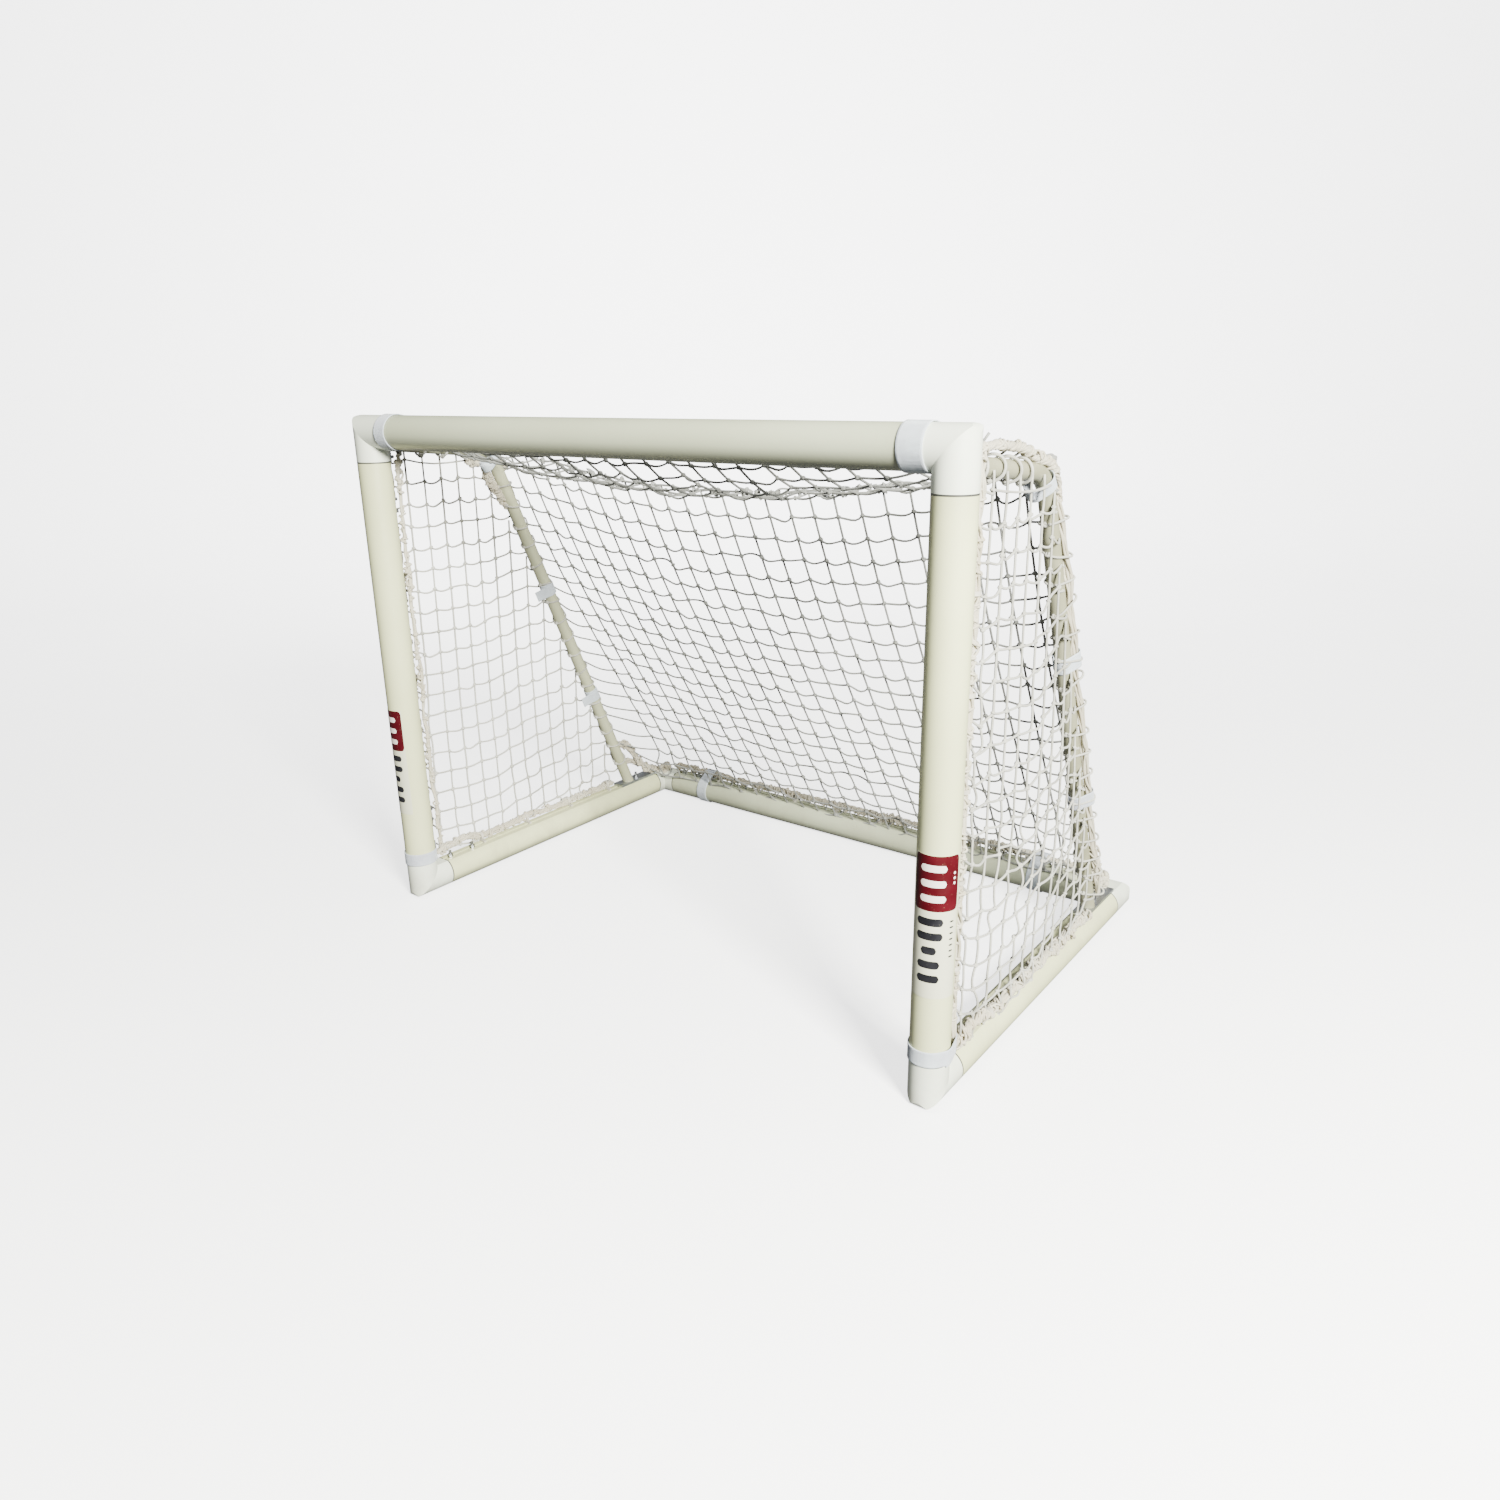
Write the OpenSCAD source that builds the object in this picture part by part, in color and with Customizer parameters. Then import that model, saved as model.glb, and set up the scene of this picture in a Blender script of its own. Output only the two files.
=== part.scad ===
// Free-standing practice goal: a mitred tube frame with a knotted net behind it.
// The goal stands on Z = 0. X runs along the crossbar, Y from the mouth to the rear bar.
// The origin is on the floor, midway between the posts and midway from mouth to rear bar.

/* [Frame] */
// Clear width between the posts
mouth_w = 1500; // [1400:10:1800]
// Clear height under the crossbar
mouth_h = 1200; // [1150:10:1250]
// Distance from the posts' axes to the rear bar's axis
depth = 1010; // [960:10:1060]

/* [Tube] */
// Outside diameter of the frame tube
tube_d = 80; // [78:1:84]
// Wall of the frame tube
tube_wall = 3; // [2.5:0.5:3.5]
// Width of the flat along one side of the tube
flat_w = 40; // [38:1:44]
// Width of the net slot in the middle of the flat
slot_w = 9; // [8.8:0.2:10]

/* [Corners] */
// Length of an elbow's leg from the corner of the axes
elbow_leg = 70; // [65:1:75]
// The same on the post legs of the front elbows
foot_leg = 57; // [52:1:70]
// The same on the side legs of the rear elbows
rear_leg = 60; // [55:1:62]
// Reach of an elbow's spigot from the corner of the axes
spigot_reach = 215; // [210:1:240]
// Radius of the mitre's outer corner
corner_r = 16; // [8:1:20]

/* [Stays] */
// Outside diameter of a stay
stay_d = 35; // [32:1:36]
// Wall of a stay
stay_wall = 2.5; // [2:0.5:3]
// Bend radius of a stay, to its axis
stay_bend_r = 90; // [80:5:100]
// How far behind the posts' axes a stay bends down
stay_reach = 362; // [350:2:380]
// How far behind the posts' axes a stay stands on the side tube
stay_foot_at = 832; // [822:2:842]

/* [Net] */
// Radius of the gathered hem of the net
hem_r = 10; // [8:0.5:10]
// Thickness of a net panel's solid
net_t = 2.4; // [2:0.2:3]
// How far the roof's seam sags between the stays
roof_sag = 90; // [40:5:110]

/* [Straps] */
// Width of the straps on the stays and the rear bar
strap_w = 38; // [30:1:50]
// Width of the crossbar's right strap
bar_strap_w = 50; // [40:1:54]
// Width of the crossbar's left strap, which is creased
left_bar_strap_w = 40; // [36:1:44]
// Width of the straps at the foot of the posts
post_strap_w = 34; // [26:1:38]
// Thickness of a strap
strap_t = 2; // [1.5:0.1:2.4]

/* [Hidden] */

ROUND = 96;

// Main lines of the frame
tube_r = tube_d / 2;
flat_h = sqrt(pow(tube_r, 2) - pow(flat_w / 2, 2));
post_x = mouth_w / 2 + tube_r;
front_y = -depth / 2;
rear_y = depth / 2;
base_z = tube_r;
bar_z = mouth_h + tube_r;

// Inside of the tube: lips of the slot, its cavity for the net clips, and the web under it
cavity_w = 17;
cavity_d = 7;
web_t = 2.5;
web_bottom = flat_h - tube_wall - cavity_d - web_t;
spigot_gap = 0.4;
spigot_wall = 5.6;
spigot_top_wall = 8;

// Studs: an M8 stud in each spigot, a washer and a nut on the flat
stud_r = 4;
stud_top = 18;
nut_af = 13;
nut_h = 6.5;
washer_r = 8;
washer_t = 1.6;
thread_gap = 0.05;
hole_r = 4.3;
front_stud_at = [96, 174];
hidden_stud_at = [165, 195];
rear_stud_at = [96, 160];
side_stud_at = [72, 140];

// Flange at the top of a stay and plate at its foot
plate_t = 8;
flange_t = 4;
flange_w = 38;
flange_h = 90;
flange_stud_dz = 32;
stay_drop = 30;
stay_fall = 34;
plate_from = 46;
plate_to = 226;

// Hems lie beside the slot, on the outside of the cage
hem_side = 19;
hem_lift = flat_h + 13.9;
hem_gap = 0.4;
clip_r = hem_r + 3;
clip_w = 8;
net_gap = 14;

// Places of the straps
post_strap_z = 115;
left_bar_strap_x = 697;
right_bar_strap_x = 724;
rear_strap_x = 586;
stay_strap_drop = [465, 823];
bend_slack = 4;
floor_gap = 0.3;

// Decals wrap the lower part of each post, turned a little outwards
decal_z = [250, 540];
decal_from = -45;
decal_to = 95;
decal_t = 0.4;

// A stay's axis in the (Y, Z) plane: flange, bend and foot
stay_r = stay_d / 2;
flange_y = front_y + flat_h;
stay_a = [flange_y + flange_t, bar_z - stay_drop];
stay_b = [front_y + stay_reach, bar_z - stay_drop - stay_fall];
stay_c = [front_y + stay_foot_at, base_z + flat_h + plate_t];
run_angle = atan2(stay_b.y - stay_a.y, stay_b.x - stay_a.x);
leg_angle = atan2(stay_c.y - stay_b.y, stay_c.x - stay_b.x);
stay_bend = run_angle - leg_angle;
bend_trim = stay_bend_r * tan(stay_bend / 2);
run_dir = [cos(run_angle), sin(run_angle)];
leg_dir = [cos(leg_angle), sin(leg_angle)];
leg_back = [-sin(leg_angle), cos(leg_angle)];
bend_from = stay_b - bend_trim * run_dir;
bend_to = stay_b + bend_trim * leg_dir;
bend_mid = bend_from + stay_bend_r * [sin(run_angle), -cos(run_angle)];
leg_len = norm(stay_c - bend_to);

// The hem behind a stay starts behind it and ends outside it
stay_hem_r = 12;
stay_hem_top = [20, 25];
stay_hem_low = [30, 12];
stay_hem_from = 12;
stay_hem_to = leg_len - 14;

// Colours
CREAM = [0.90, 0.89, 0.80];
WHITE = [0.94, 0.95, 0.93];
METAL = [0.62, 0.64, 0.65];
DARK = [0.25, 0.26, 0.27];
NET = [0.93, 0.93, 0.90];
HEM = [0.83, 0.80, 0.70];
STRAP = [0.86, 0.87, 0.93];
MAROON = [0.42, 0.05, 0.12];

// ---- Sections: the flat faces +Y, the axis is Z ----

module below(top) {
    translate([-2 * tube_r, top - 4 * tube_r]) square(4 * tube_r);
}

module tube_outline() {
    intersection() {
        circle(r = tube_r, $fn = ROUND);
        below(flat_h);
    }
}

module slot_outline() {
    translate([-slot_w / 2, flat_h - tube_wall - 1]) square([slot_w, tube_wall + 2]);
    translate([-cavity_w / 2, flat_h - tube_wall - cavity_d]) square([cavity_w, cavity_d]);
}

module tube_inside() {
    web_w = cavity_w + 2 * web_t;
    difference() {
        intersection() {
            circle(r = tube_r - tube_wall, $fn = ROUND);
            below(flat_h - tube_wall);
        }
        translate([-web_w / 2, web_bottom]) square([web_w, tube_r]);
    }
}

module tube_section() {
    difference() {
        tube_outline();
        tube_inside();
        slot_outline();
    }
}

module spigot_outline(inset) {
    intersection() {
        circle(r = tube_r - tube_wall - spigot_gap - inset, $fn = ROUND);
        below(web_bottom - spigot_gap - (inset > 0 ? spigot_top_wall : 0));
    }
}

// ---- Where the frame's six tubes lie: +Z along the tube, +Y out of its flat ----

module on_crossbar() {
    translate([0, front_y, bar_z]) rotate([0, 90, 0]) children();
}

module on_left_post() {
    translate([-post_x, front_y, 0]) mirror([1, 0, 0]) children();
}

module on_left_base() {
    translate([-post_x, 0, base_z]) rotate([90, 0, 180]) children();
}

module on_rear_bar() {
    translate([0, rear_y, base_z]) rotate([90, 0, 90]) children();
}

module on_right() {
    mirror([1, 0, 0]) children();
}

// ---- Studs ----

// Along-tube positions of the studs, counted in each tube's own frame
bar_studs = [for (s = [-1, 1], d = hidden_stud_at) s * (post_x - d)];
post_studs = concat([for (d = hidden_stud_at) base_z + d], [for (d = hidden_stud_at) bar_z - d]);
base_studs = [for (d = front_stud_at) front_y + d];
plate_studs = [for (d = side_stud_at) rear_y - d];
rear_studs = [for (s = [-1, 1], d = rear_stud_at) s * (post_x - d)];

module stud_holes(places, r) {
    for (z = places) {
        translate([0, 0, z]) rotate([-90, 0, 0]) cylinder(r = r, h = flat_h + 1, $fn = ROUND);
    }
}

module studs(places, lift = 0) {
    bottom = web_bottom - spigot_gap - spigot_top_wall + 0.5;
    for (z = places) {
        translate([0, bottom, z])
            rotate([-90, 0, 0])
                cylinder(r = stud_r, h = flat_h + lift + stud_top - bottom, $fn = 32);
    }
}

module washers(places, lift = 0) {
    for (z = places) {
        translate([0, flat_h + lift, z]) rotate([-90, 0, 0]) difference() {
            cylinder(r = washer_r, h = washer_t, $fn = 32);
            translate([0, 0, -1]) cylinder(r = hole_r, h = washer_t + 2, $fn = 32);
        }
    }
}

module nuts(places, lift = 0) {
    for (z = places) {
        translate([0, flat_h + lift + washer_t, z]) rotate([-90, 0, 0]) difference() {
            cylinder(d = nut_af / cos(30), h = nut_h, $fn = 6);
            translate([0, 0, -1]) cylinder(r = stud_r + thread_gap, h = nut_h + 2, $fn = 32);
        }
    }
}

// ---- Tubes ----

module tube(from, to, studs_at) {
    difference() {
        translate([0, 0, from]) linear_extrude(to - from) tube_section();
        stud_holes(studs_at, hole_r);
    }
}

module crossbar() {
    color(CREAM) on_crossbar() tube(elbow_leg - post_x, post_x - elbow_leg, bar_studs);
}

module left_post() {
    color(CREAM) on_left_post() tube(base_z + foot_leg, bar_z - elbow_leg, post_studs);
}

module left_base_tube() {
    color(CREAM) on_left_base() {
        tube(front_y + elbow_leg, rear_y - rear_leg, concat(base_studs, plate_studs));
    }
}

module rear_bar() {
    color(CREAM) on_rear_bar() tube(elbow_leg - post_x, post_x - elbow_leg, rear_studs);
}

// ---- Elbows: legs along +X and +Y, mitred on the plane X = Y ----

module first_leg_half() {
    size = 3 * spigot_reach;
    rotate([0, 0, -45]) translate([0, -size / 2, -size / 2]) cube(size);
}

// Turns a shape drawn along +Z so that it runs along +X. Its flat faces +Z, or the other leg.
module leg_frame(flats_inside) {
    if (flats_inside) {
        rotate([0, 90, 0]) children();
    } else {
        rotate([90, 0, 90]) children();
    }
}

module leg_solid(leg, flats_inside) {
    intersection() {
        leg_frame(flats_inside) translate([0, 0, -tube_r - 1]) {
            linear_extrude(leg + tube_r + 1) tube_outline();
        }
        first_leg_half();
    }
    leg_frame(flats_inside) translate([0, 0, leg - 1]) {
        linear_extrude(spigot_reach - leg + 1) spigot_outline(0);
    }
}

module leg_bore(flats_inside) {
    intersection() {
        leg_frame(flats_inside) translate([0, 0, -tube_r]) {
            linear_extrude(spigot_reach + tube_r + 1) spigot_outline(spigot_wall);
        }
        first_leg_half();
    }
}

// Everything inside the rounded outer corner of a mitre
module rounded_corner() {
    size = spigot_reach + tube_r + 1;
    translate([0, 0, -tube_r - 1]) linear_extrude(2 * tube_r + 2) translate([-tube_r, -tube_r]) {
        translate([corner_r, 0]) square([size - corner_r, size]);
        translate([0, corner_r]) square([size, size - corner_r]);
        translate([corner_r, corner_r]) circle(r = corner_r, $fn = ROUND);
    }
}

module elbow(leg_x, leg_y, studs_x, studs_y, flats_inside = false) {
    tap_r = stud_r + thread_gap;
    difference() {
        intersection() {
            union() {
                leg_solid(leg_x, flats_inside);
                mirror([1, -1, 0]) leg_solid(leg_y, flats_inside);
            }
            rounded_corner();
        }
        leg_bore(flats_inside);
        mirror([1, -1, 0]) leg_bore(flats_inside);
        leg_frame(flats_inside) stud_holes(studs_x, tap_r);
        mirror([1, -1, 0]) leg_frame(flats_inside) stud_holes(studs_y, tap_r);
    }
}

module left_top_elbow() {
    flange_studs = [stay_drop - flange_stud_dz, stay_drop + flange_stud_dz];
    color(WHITE) translate([-post_x, front_y, bar_z]) rotate([-90, 0, 0]) {
        elbow(elbow_leg, elbow_leg, hidden_stud_at, concat(hidden_stud_at, flange_studs));
    }
}

module left_front_elbow() {
    color(WHITE) translate([-post_x, front_y, base_z]) rotate([0, -90, 0]) {
        elbow(foot_leg, elbow_leg, hidden_stud_at, front_stud_at, true);
    }
}

module left_rear_elbow() {
    color(WHITE) translate([-post_x, rear_y, base_z]) rotate([0, 0, -90]) {
        elbow(rear_leg, elbow_leg, side_stud_at, rear_stud_at);
    }
}

// ---- Stays, drawn in the side plane: local X is Y, local Y is Z ----

module in_left_plane() {
    translate([-post_x, 0, 0]) rotate([90, 0, 90]) children();
}

module rod(from, to, r) {
    way = to - from;
    translate([from.x, from.y, 0])
        rotate([0, 0, atan2(way.y, way.x)])
            rotate([0, 90, 0])
                cylinder(r = r, h = norm(way), $fn = ROUND);
}

// The straight rods lap a little into the bend, so that the sweep is one solid
module stay_sweep(r, extra) {
    lap = 0.1;
    rod(stay_a - extra * run_dir, bend_from + lap * run_dir, r);
    translate([bend_mid.x, bend_mid.y, 0]) rotate([0, 0, leg_angle + 90]) {
        rotate_extrude(angle = stay_bend, $fn = ROUND) {
            translate([stay_bend_r, 0]) circle(r = r, $fn = ROUND);
        }
    }
    rod(bend_to - lap * leg_dir, stay_c + extra * leg_dir, r);
}

module left_stay() {
    color(CREAM) in_left_plane() difference() {
        stay_sweep(stay_r, 20);
        stay_sweep(stay_r - stay_wall, 40);
        translate([stay_a.x - 100, stay_a.y - 100, -50]) cube([100, 200, 100]);
        translate([stay_c.x - 100, stay_c.y - 100, -50]) cube([200, 100, 100]);
    }
}

module left_stay_flange() {
    color(METAL) in_left_plane() difference() {
        translate([flange_y, stay_a.y - flange_h / 2, -flange_w / 2]) {
            cube([flange_t, flange_h, flange_w]);
        }
        for (s = [-1, 1]) {
            translate([flange_y - 1, stay_a.y + s * flange_stud_dz, 0])
                rotate([0, 90, 0])
                    cylinder(r = hole_r, h = flange_t + 2, $fn = 32);
        }
    }
}

module left_foot_plate() {
    color(METAL) difference() {
        translate([-post_x - flat_w / 2, rear_y - plate_to, base_z + flat_h]) {
            cube([flat_w, plate_to - plate_from, plate_t]);
        }
        for (d = side_stud_at) {
            translate([-post_x, rear_y - d, base_z]) {
                cylinder(r = hole_r, h = tube_r + plate_t, $fn = 32);
            }
        }
    }
}

// ---- Fastener groups ----

module each_corner_fastener() {
    on_crossbar() children(0);
    for (side = [0, 1]) {
        mirror([side, 0, 0]) {
            on_left_post() children(1);
            on_left_base() children(2);
        }
    }
    on_rear_bar() children(3);
}

module each_plate_fastener() {
    for (side = [0, 1]) {
        mirror([side, 0, 0]) {
            on_left_base() children(0);
            on_left_post() children(1);
        }
    }
}

flange_studs_at = [for (s = [-1, 1]) bar_z - stay_drop + s * flange_stud_dz];

module corner_studs() {
    color(DARK) each_corner_fastener() {
        studs(bar_studs);
        studs(post_studs);
        studs(base_studs);
        studs(rear_studs);
    }
}

module corner_nuts() {
    color(DARK) each_corner_fastener() {
        nuts(bar_studs);
        nuts(post_studs);
        nuts(base_studs);
        nuts(rear_studs);
    }
}

module corner_washers() {
    color(METAL) each_corner_fastener() {
        washers(bar_studs);
        washers(post_studs);
        washers(base_studs);
        washers(rear_studs);
    }
}

module foot_plate_studs() {
    color(DARK) each_plate_fastener() {
        studs(plate_studs, plate_t);
        studs(flange_studs_at, flange_t);
    }
}

module foot_plate_nuts() {
    color(DARK) each_plate_fastener() {
        nuts(plate_studs, plate_t);
        nuts(flange_studs_at, flange_t);
    }
}

module foot_plate_washers() {
    color(METAL) each_plate_fastener() {
        washers(plate_studs, plate_t);
        washers(flange_studs_at, flange_t);
    }
}

// ---- Net clips: a foot in the slot, a neck, an arm and a ring round the hem ----

module net_clip() {
    foot_gap = 0.5;
    arm_low = flat_h + 0.8;
    arm_high = hem_lift - hem_r + 0.8;
    translate([1 - cavity_w / 2, flat_h - tube_wall - cavity_d + foot_gap, -clip_w / 2]) {
        cube([cavity_w - 2, cavity_d - 2 * foot_gap, clip_w]);
    }
    translate([foot_gap - slot_w / 2, flat_h - tube_wall - foot_gap - 1, -clip_w / 2]) {
        cube([slot_w - 2 * foot_gap, tube_wall + 3, clip_w]);
    }
    difference() {
        union() {
            translate([foot_gap - slot_w / 2, arm_low, -clip_w / 2]) {
                cube([hem_side + slot_w / 2 - 6, arm_high - arm_low, clip_w]);
            }
            translate([hem_side, hem_lift, -clip_w / 2]) {
                cylinder(r = clip_r, h = clip_w, $fn = ROUND);
            }
        }
        translate([hem_side, hem_lift, -clip_w]) {
            cylinder(r = hem_r + hem_gap, h = 2 * clip_w, $fn = ROUND);
        }
    }
}

module net_clips(from, to, count) {
    for (i = [0 : count - 1]) {
        translate([0, 0, from + (to - from) * i / (count - 1)]) net_clip();
    }
}

module crossbar_net_clips() {
    color(WHITE) on_crossbar() mirror([1, 0, 0]) net_clips(-post_x + 240, post_x - 240, 8);
}

module left_post_net_clips() {
    color(WHITE) on_left_post() net_clips(base_z + 240, bar_z - 240, 5);
}

module left_base_net_clips() {
    color(WHITE) on_left_base() net_clips(front_y + 220, rear_y - plate_to - 40, 4);
}

module rear_bar_net_clips() {
    color(WHITE) on_rear_bar() net_clips(-post_x + 245, post_x - 245, 8);
}

// ---- Hems ----

module tube_hem(from, to) {
    translate([hem_side, hem_lift, from]) cylinder(r = hem_r, h = to - from, $fn = ROUND);
}

module crossbar_hem() {
    color(HEM) on_crossbar() mirror([1, 0, 0]) tube_hem(30 - post_x, post_x - 30);
}

module left_post_hem() {
    color(HEM) on_left_post() tube_hem(base_z + 48, bar_z - 84);
}

module left_base_hem() {
    color(HEM) on_left_base() tube_hem(front_y + 62, rear_y - plate_to - 8);
}

module rear_bar_hem() {
    color(HEM) on_rear_bar() tube_hem(40 - post_x, post_x - 40);
}

// The hem over a stay's top run
roof_hem_from = [flange_y + 30, bar_z - 4];
roof_hem_to = [stay_b.x + 20, stay_b.y + 34];

module left_roof_hem() {
    color(HEM) translate([-10, 0, 0]) in_left_plane() rod(roof_hem_from, roof_hem_to, hem_r);
}

// The hem along a stay's leg, from behind it to outside it
function stay_hem_point(along, side) = [
    -post_x - side.x,
    bend_to.x + along * leg_dir.x + side.y * leg_back.x,
    bend_to.y + along * leg_dir.y + side.y * leg_back.y
];

module rod3(from, to, r) {
    way = to - from;
    translate(from)
        rotate([0, acos(way.z / norm(way)), atan2(way.y, way.x)])
            cylinder(r = r, h = norm(way), $fn = ROUND);
}

module left_stay_hem() {
    color(HEM) rod3(
        stay_hem_point(stay_hem_from, stay_hem_top),
        stay_hem_point(stay_hem_to, stay_hem_low),
        stay_hem_r
    );
}

// ---- Net panels ----

// Half width of the roof and back panels, inside the stays and their straps
panel_x = post_x - stay_r - bend_slack - strap_t - 2;
seam_y = stay_b.x + 15;
seam_high = stay_b.y + 16;
rope_r = 5;
rope_rings = 24;
rope_sides = 8;

function seam_z(s) = seam_high - roof_sag * (1 - pow(s, 2));

// A closed sheet over a grid of points, t thick along the given direction
module sheet(rows, out) {
    nr = len(rows);
    nc = len(rows[0]);
    front = [for (r = rows, p = r) p];
    back = [for (p = front) p + out];
    n = nr * nc;
    function at(i, j) = i * nc + j;
    quads = [for (i = [0 : nr - 2], j = [0 : nc - 2])
        [at(i, j), at(i, j + 1), at(i + 1, j + 1), at(i + 1, j)]];
    rim = concat(
        [for (j = [0 : nc - 1]) at(0, j)],
        [for (i = [1 : nr - 1]) at(i, nc - 1)],
        [for (j = [nc - 2 : -1 : 0]) at(nr - 1, j)],
        [for (i = [nr - 2 : -1 : 1]) at(i, 0)]
    );
    m = len(rim);
    faces = concat(
        [for (q = quads) each [[q[0], q[1], q[2]], [q[0], q[2], q[3]]]],
        [for (q = quads) each [[q[2] + n, q[1] + n, q[0] + n], [q[3] + n, q[2] + n, q[0] + n]]],
        [for (k = [0 : m - 1]) let (a = rim[k], b = rim[(k + 1) % m])
            each [[b, a, a + n], [b, a + n, b + n]]]
    );
    polyhedron(concat(front, back), faces);
}

module roof_seam_rope() {
    centre = [for (i = [0 : rope_rings]) let (s = 2 * i / rope_rings - 1)
        [s * panel_x, seam_y, seam_z(s)]];
    points = [for (c = centre, k = [0 : rope_sides - 1])
        c + rope_r * [0, cos(360 * k / rope_sides), sin(360 * k / rope_sides)]];
    side_faces = [for (i = [0 : rope_rings - 1], k = [0 : rope_sides - 1])
        let (a = i * rope_sides + k, b = i * rope_sides + (k + 1) % rope_sides)
            [a, b, b + rope_sides, a + rope_sides]];
    last = rope_rings * rope_sides;
    caps = [
        [for (k = [rope_sides - 1 : -1 : 0]) k],
        [for (k = [0 : rope_sides - 1]) last + k]
    ];
    color(HEM) polyhedron(points, concat(side_faces, caps));
}

module roof_net() {
    from_y = front_y + hem_lift + net_gap;
    from_z = bar_z + 12;
    columns = 16;
    rows = [for (t = [0, 0.5, 1]) [for (j = [0 : columns]) let (s = 2 * j / columns - 1)
        [s * panel_x, from_y + t * (seam_y - 8 - from_y), from_z + t * (seam_z(s) - from_z)]]];
    color(NET) sheet(rows, [0, 0, -net_t]);
}

// Height where the back net leaves a stay for the rear corner
leave_z = bar_z - stay_strap_drop[1] - 20;

function stay_y(z) = stay_b.x + (stay_b.y - z) * (stay_c.x - stay_b.x) / (stay_b.y - stay_c.y);

function back_edge_y(z, low) = z > leave_z
    ? stay_y(z) + 15
    : let (k = (leave_z - z) / (leave_z - low.z))
        (stay_y(leave_z) + 15) * (1 - k) + low.y * k;

module back_net() {
    low = [0, rear_y + 6, base_z + hem_lift + net_gap];
    top_gap = 9;
    columns = 16;
    row_count = 12;
    rows = [for (i = [0 : row_count]) [for (j = [0 : columns])
        let (
            t = i / row_count,
            s = 2 * j / columns - 1,
            high = seam_z(s) - top_gap,
            z = high + t * (low.z - high),
            middle = seam_y + t * (low.y - seam_y),
            edge = back_edge_y(z, low)
        )
            [s * panel_x, middle + (edge - middle) * pow(s, 4), z]]];
    color(NET) sheet(rows, [0, net_t, 0]);
}

module left_side_net() {
    inset = 42;
    y0 = front_y + hem_lift + net_gap;
    z0 = base_z + hem_lift + net_gap;
    top = stay_b.y - inset / cos(stay_bend / 2);
    foot_y = stay_y(z0) - inset / leg_back.x;
    corner_y = stay_y(top) - inset / leg_back.x;
    outer = post_x + 21;
    color(NET) translate([-outer, 0, 0]) rotate([90, 0, 90]) translate([0, 0, -net_t / 2]) {
        linear_extrude(net_t) {
            polygon([[y0, z0], [foot_y, z0], [corner_y, top], [y0, top + 30]]);
        }
    }
}

// ---- Straps ----

// A loop in the XY plane round a circle at the origin and another at the given place
module loop(inner_r, place, place_r, width) {
    translate([0, 0, -width / 2]) difference() {
        linear_extrude(width) hull() {
            circle(r = inner_r + strap_t, $fn = 48);
            translate(place) circle(r = place_r + strap_t, $fn = 32);
        }
        translate([0, 0, -1]) linear_extrude(width + 2) hull() {
            circle(r = inner_r, $fn = 48);
            translate(place) circle(r = place_r, $fn = 32);
        }
    }
}

module tube_strap(at, width) {
    translate([0, 0, at]) {
        loop(tube_r + 0.4, [hem_side, hem_lift], hem_r + 0.6, width);
    }
}

module crossbar_strap(x, width) {
    color(STRAP) on_crossbar() mirror([1, 0, 0]) tube_strap(x, width);
}

module left_post_strap() {
    color(STRAP) on_left_post() tube_strap(post_strap_z, post_strap_w);
}

module left_rear_strap() {
    color(STRAP) intersection() {
        on_rear_bar() tube_strap(-rear_strap_x, strap_w);
        translate([-post_x, 0, floor_gap]) cube([post_x, depth, mouth_h]);
    }
}

module stay_strap(along) {
    k = (along - stay_hem_from) / (stay_hem_to - stay_hem_from);
    side = stay_hem_top + k * (stay_hem_low - stay_hem_top);
    place = bend_to + along * leg_dir;
    translate([-post_x, place.x, place.y]) rotate([90 + leg_angle, 0, 0]) mirror([1, 0, 0]) {
        loop(stay_r + 0.4, side, stay_hem_r + 1.2, strap_w);
    }
}

module bend_strap() {
    mid_angle = (run_angle + leg_angle) / 2;
    place = bend_mid + stay_bend_r * [-sin(mid_angle), cos(mid_angle)];
    in_left_plane() translate([place.x, place.y, 0]) rotate([0, 0, mid_angle]) rotate([0, 90, 0]) {
        translate([0, 0, -strap_w / 2]) difference() {
            cylinder(r = stay_r + bend_slack + strap_t, h = strap_w, $fn = ROUND);
            translate([0, 0, -1]) cylinder(r = stay_r + bend_slack, h = strap_w + 2, $fn = ROUND);
        }
    }
}

module left_stay_straps() {
    leg_drop = -leg_dir.y;
    color(STRAP) {
        bend_strap();
        for (drop = stay_strap_drop) {
            stay_strap((bend_to.y - (bar_z - drop)) / leg_drop);
        }
    }
}

// ---- Decals ----

module left_post_decal() {
    span = decal_to - decal_from;
    start = -90 + decal_from;
    color(MAROON) on_left_post() translate([0, 0, decal_z[0]]) rotate([0, 0, start]) {
        rotate_extrude(angle = span, $fn = ROUND) {
            translate([tube_r + 0.05, 0]) square([decal_t, decal_z[1] - decal_z[0]]);
        }
    }
}

// ---- The goal ----

crossbar();
left_post();
on_right() left_post();  // right_post
left_base_tube();
on_right() left_base_tube();  // right_base_tube
rear_bar();
left_top_elbow();
on_right() left_top_elbow();  // right_top_elbow
left_front_elbow();
on_right() left_front_elbow();  // right_front_elbow
left_rear_elbow();
on_right() left_rear_elbow();  // right_rear_elbow
left_stay();
on_right() left_stay();  // right_stay
left_stay_flange();
on_right() left_stay_flange();  // right_stay_flange
left_foot_plate();
on_right() left_foot_plate();  // right_foot_plate
corner_studs();
foot_plate_studs();
corner_nuts();
foot_plate_nuts();
corner_washers();
foot_plate_washers();
crossbar_net_clips();
left_post_net_clips();
on_right() left_post_net_clips();  // right_post_net_clips
left_base_net_clips();
on_right() left_base_net_clips();  // right_base_net_clips
rear_bar_net_clips();
crossbar_hem();
left_post_hem();
on_right() left_post_hem();  // right_post_hem
left_base_hem();
on_right() left_base_hem();  // right_base_hem
rear_bar_hem();
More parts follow.
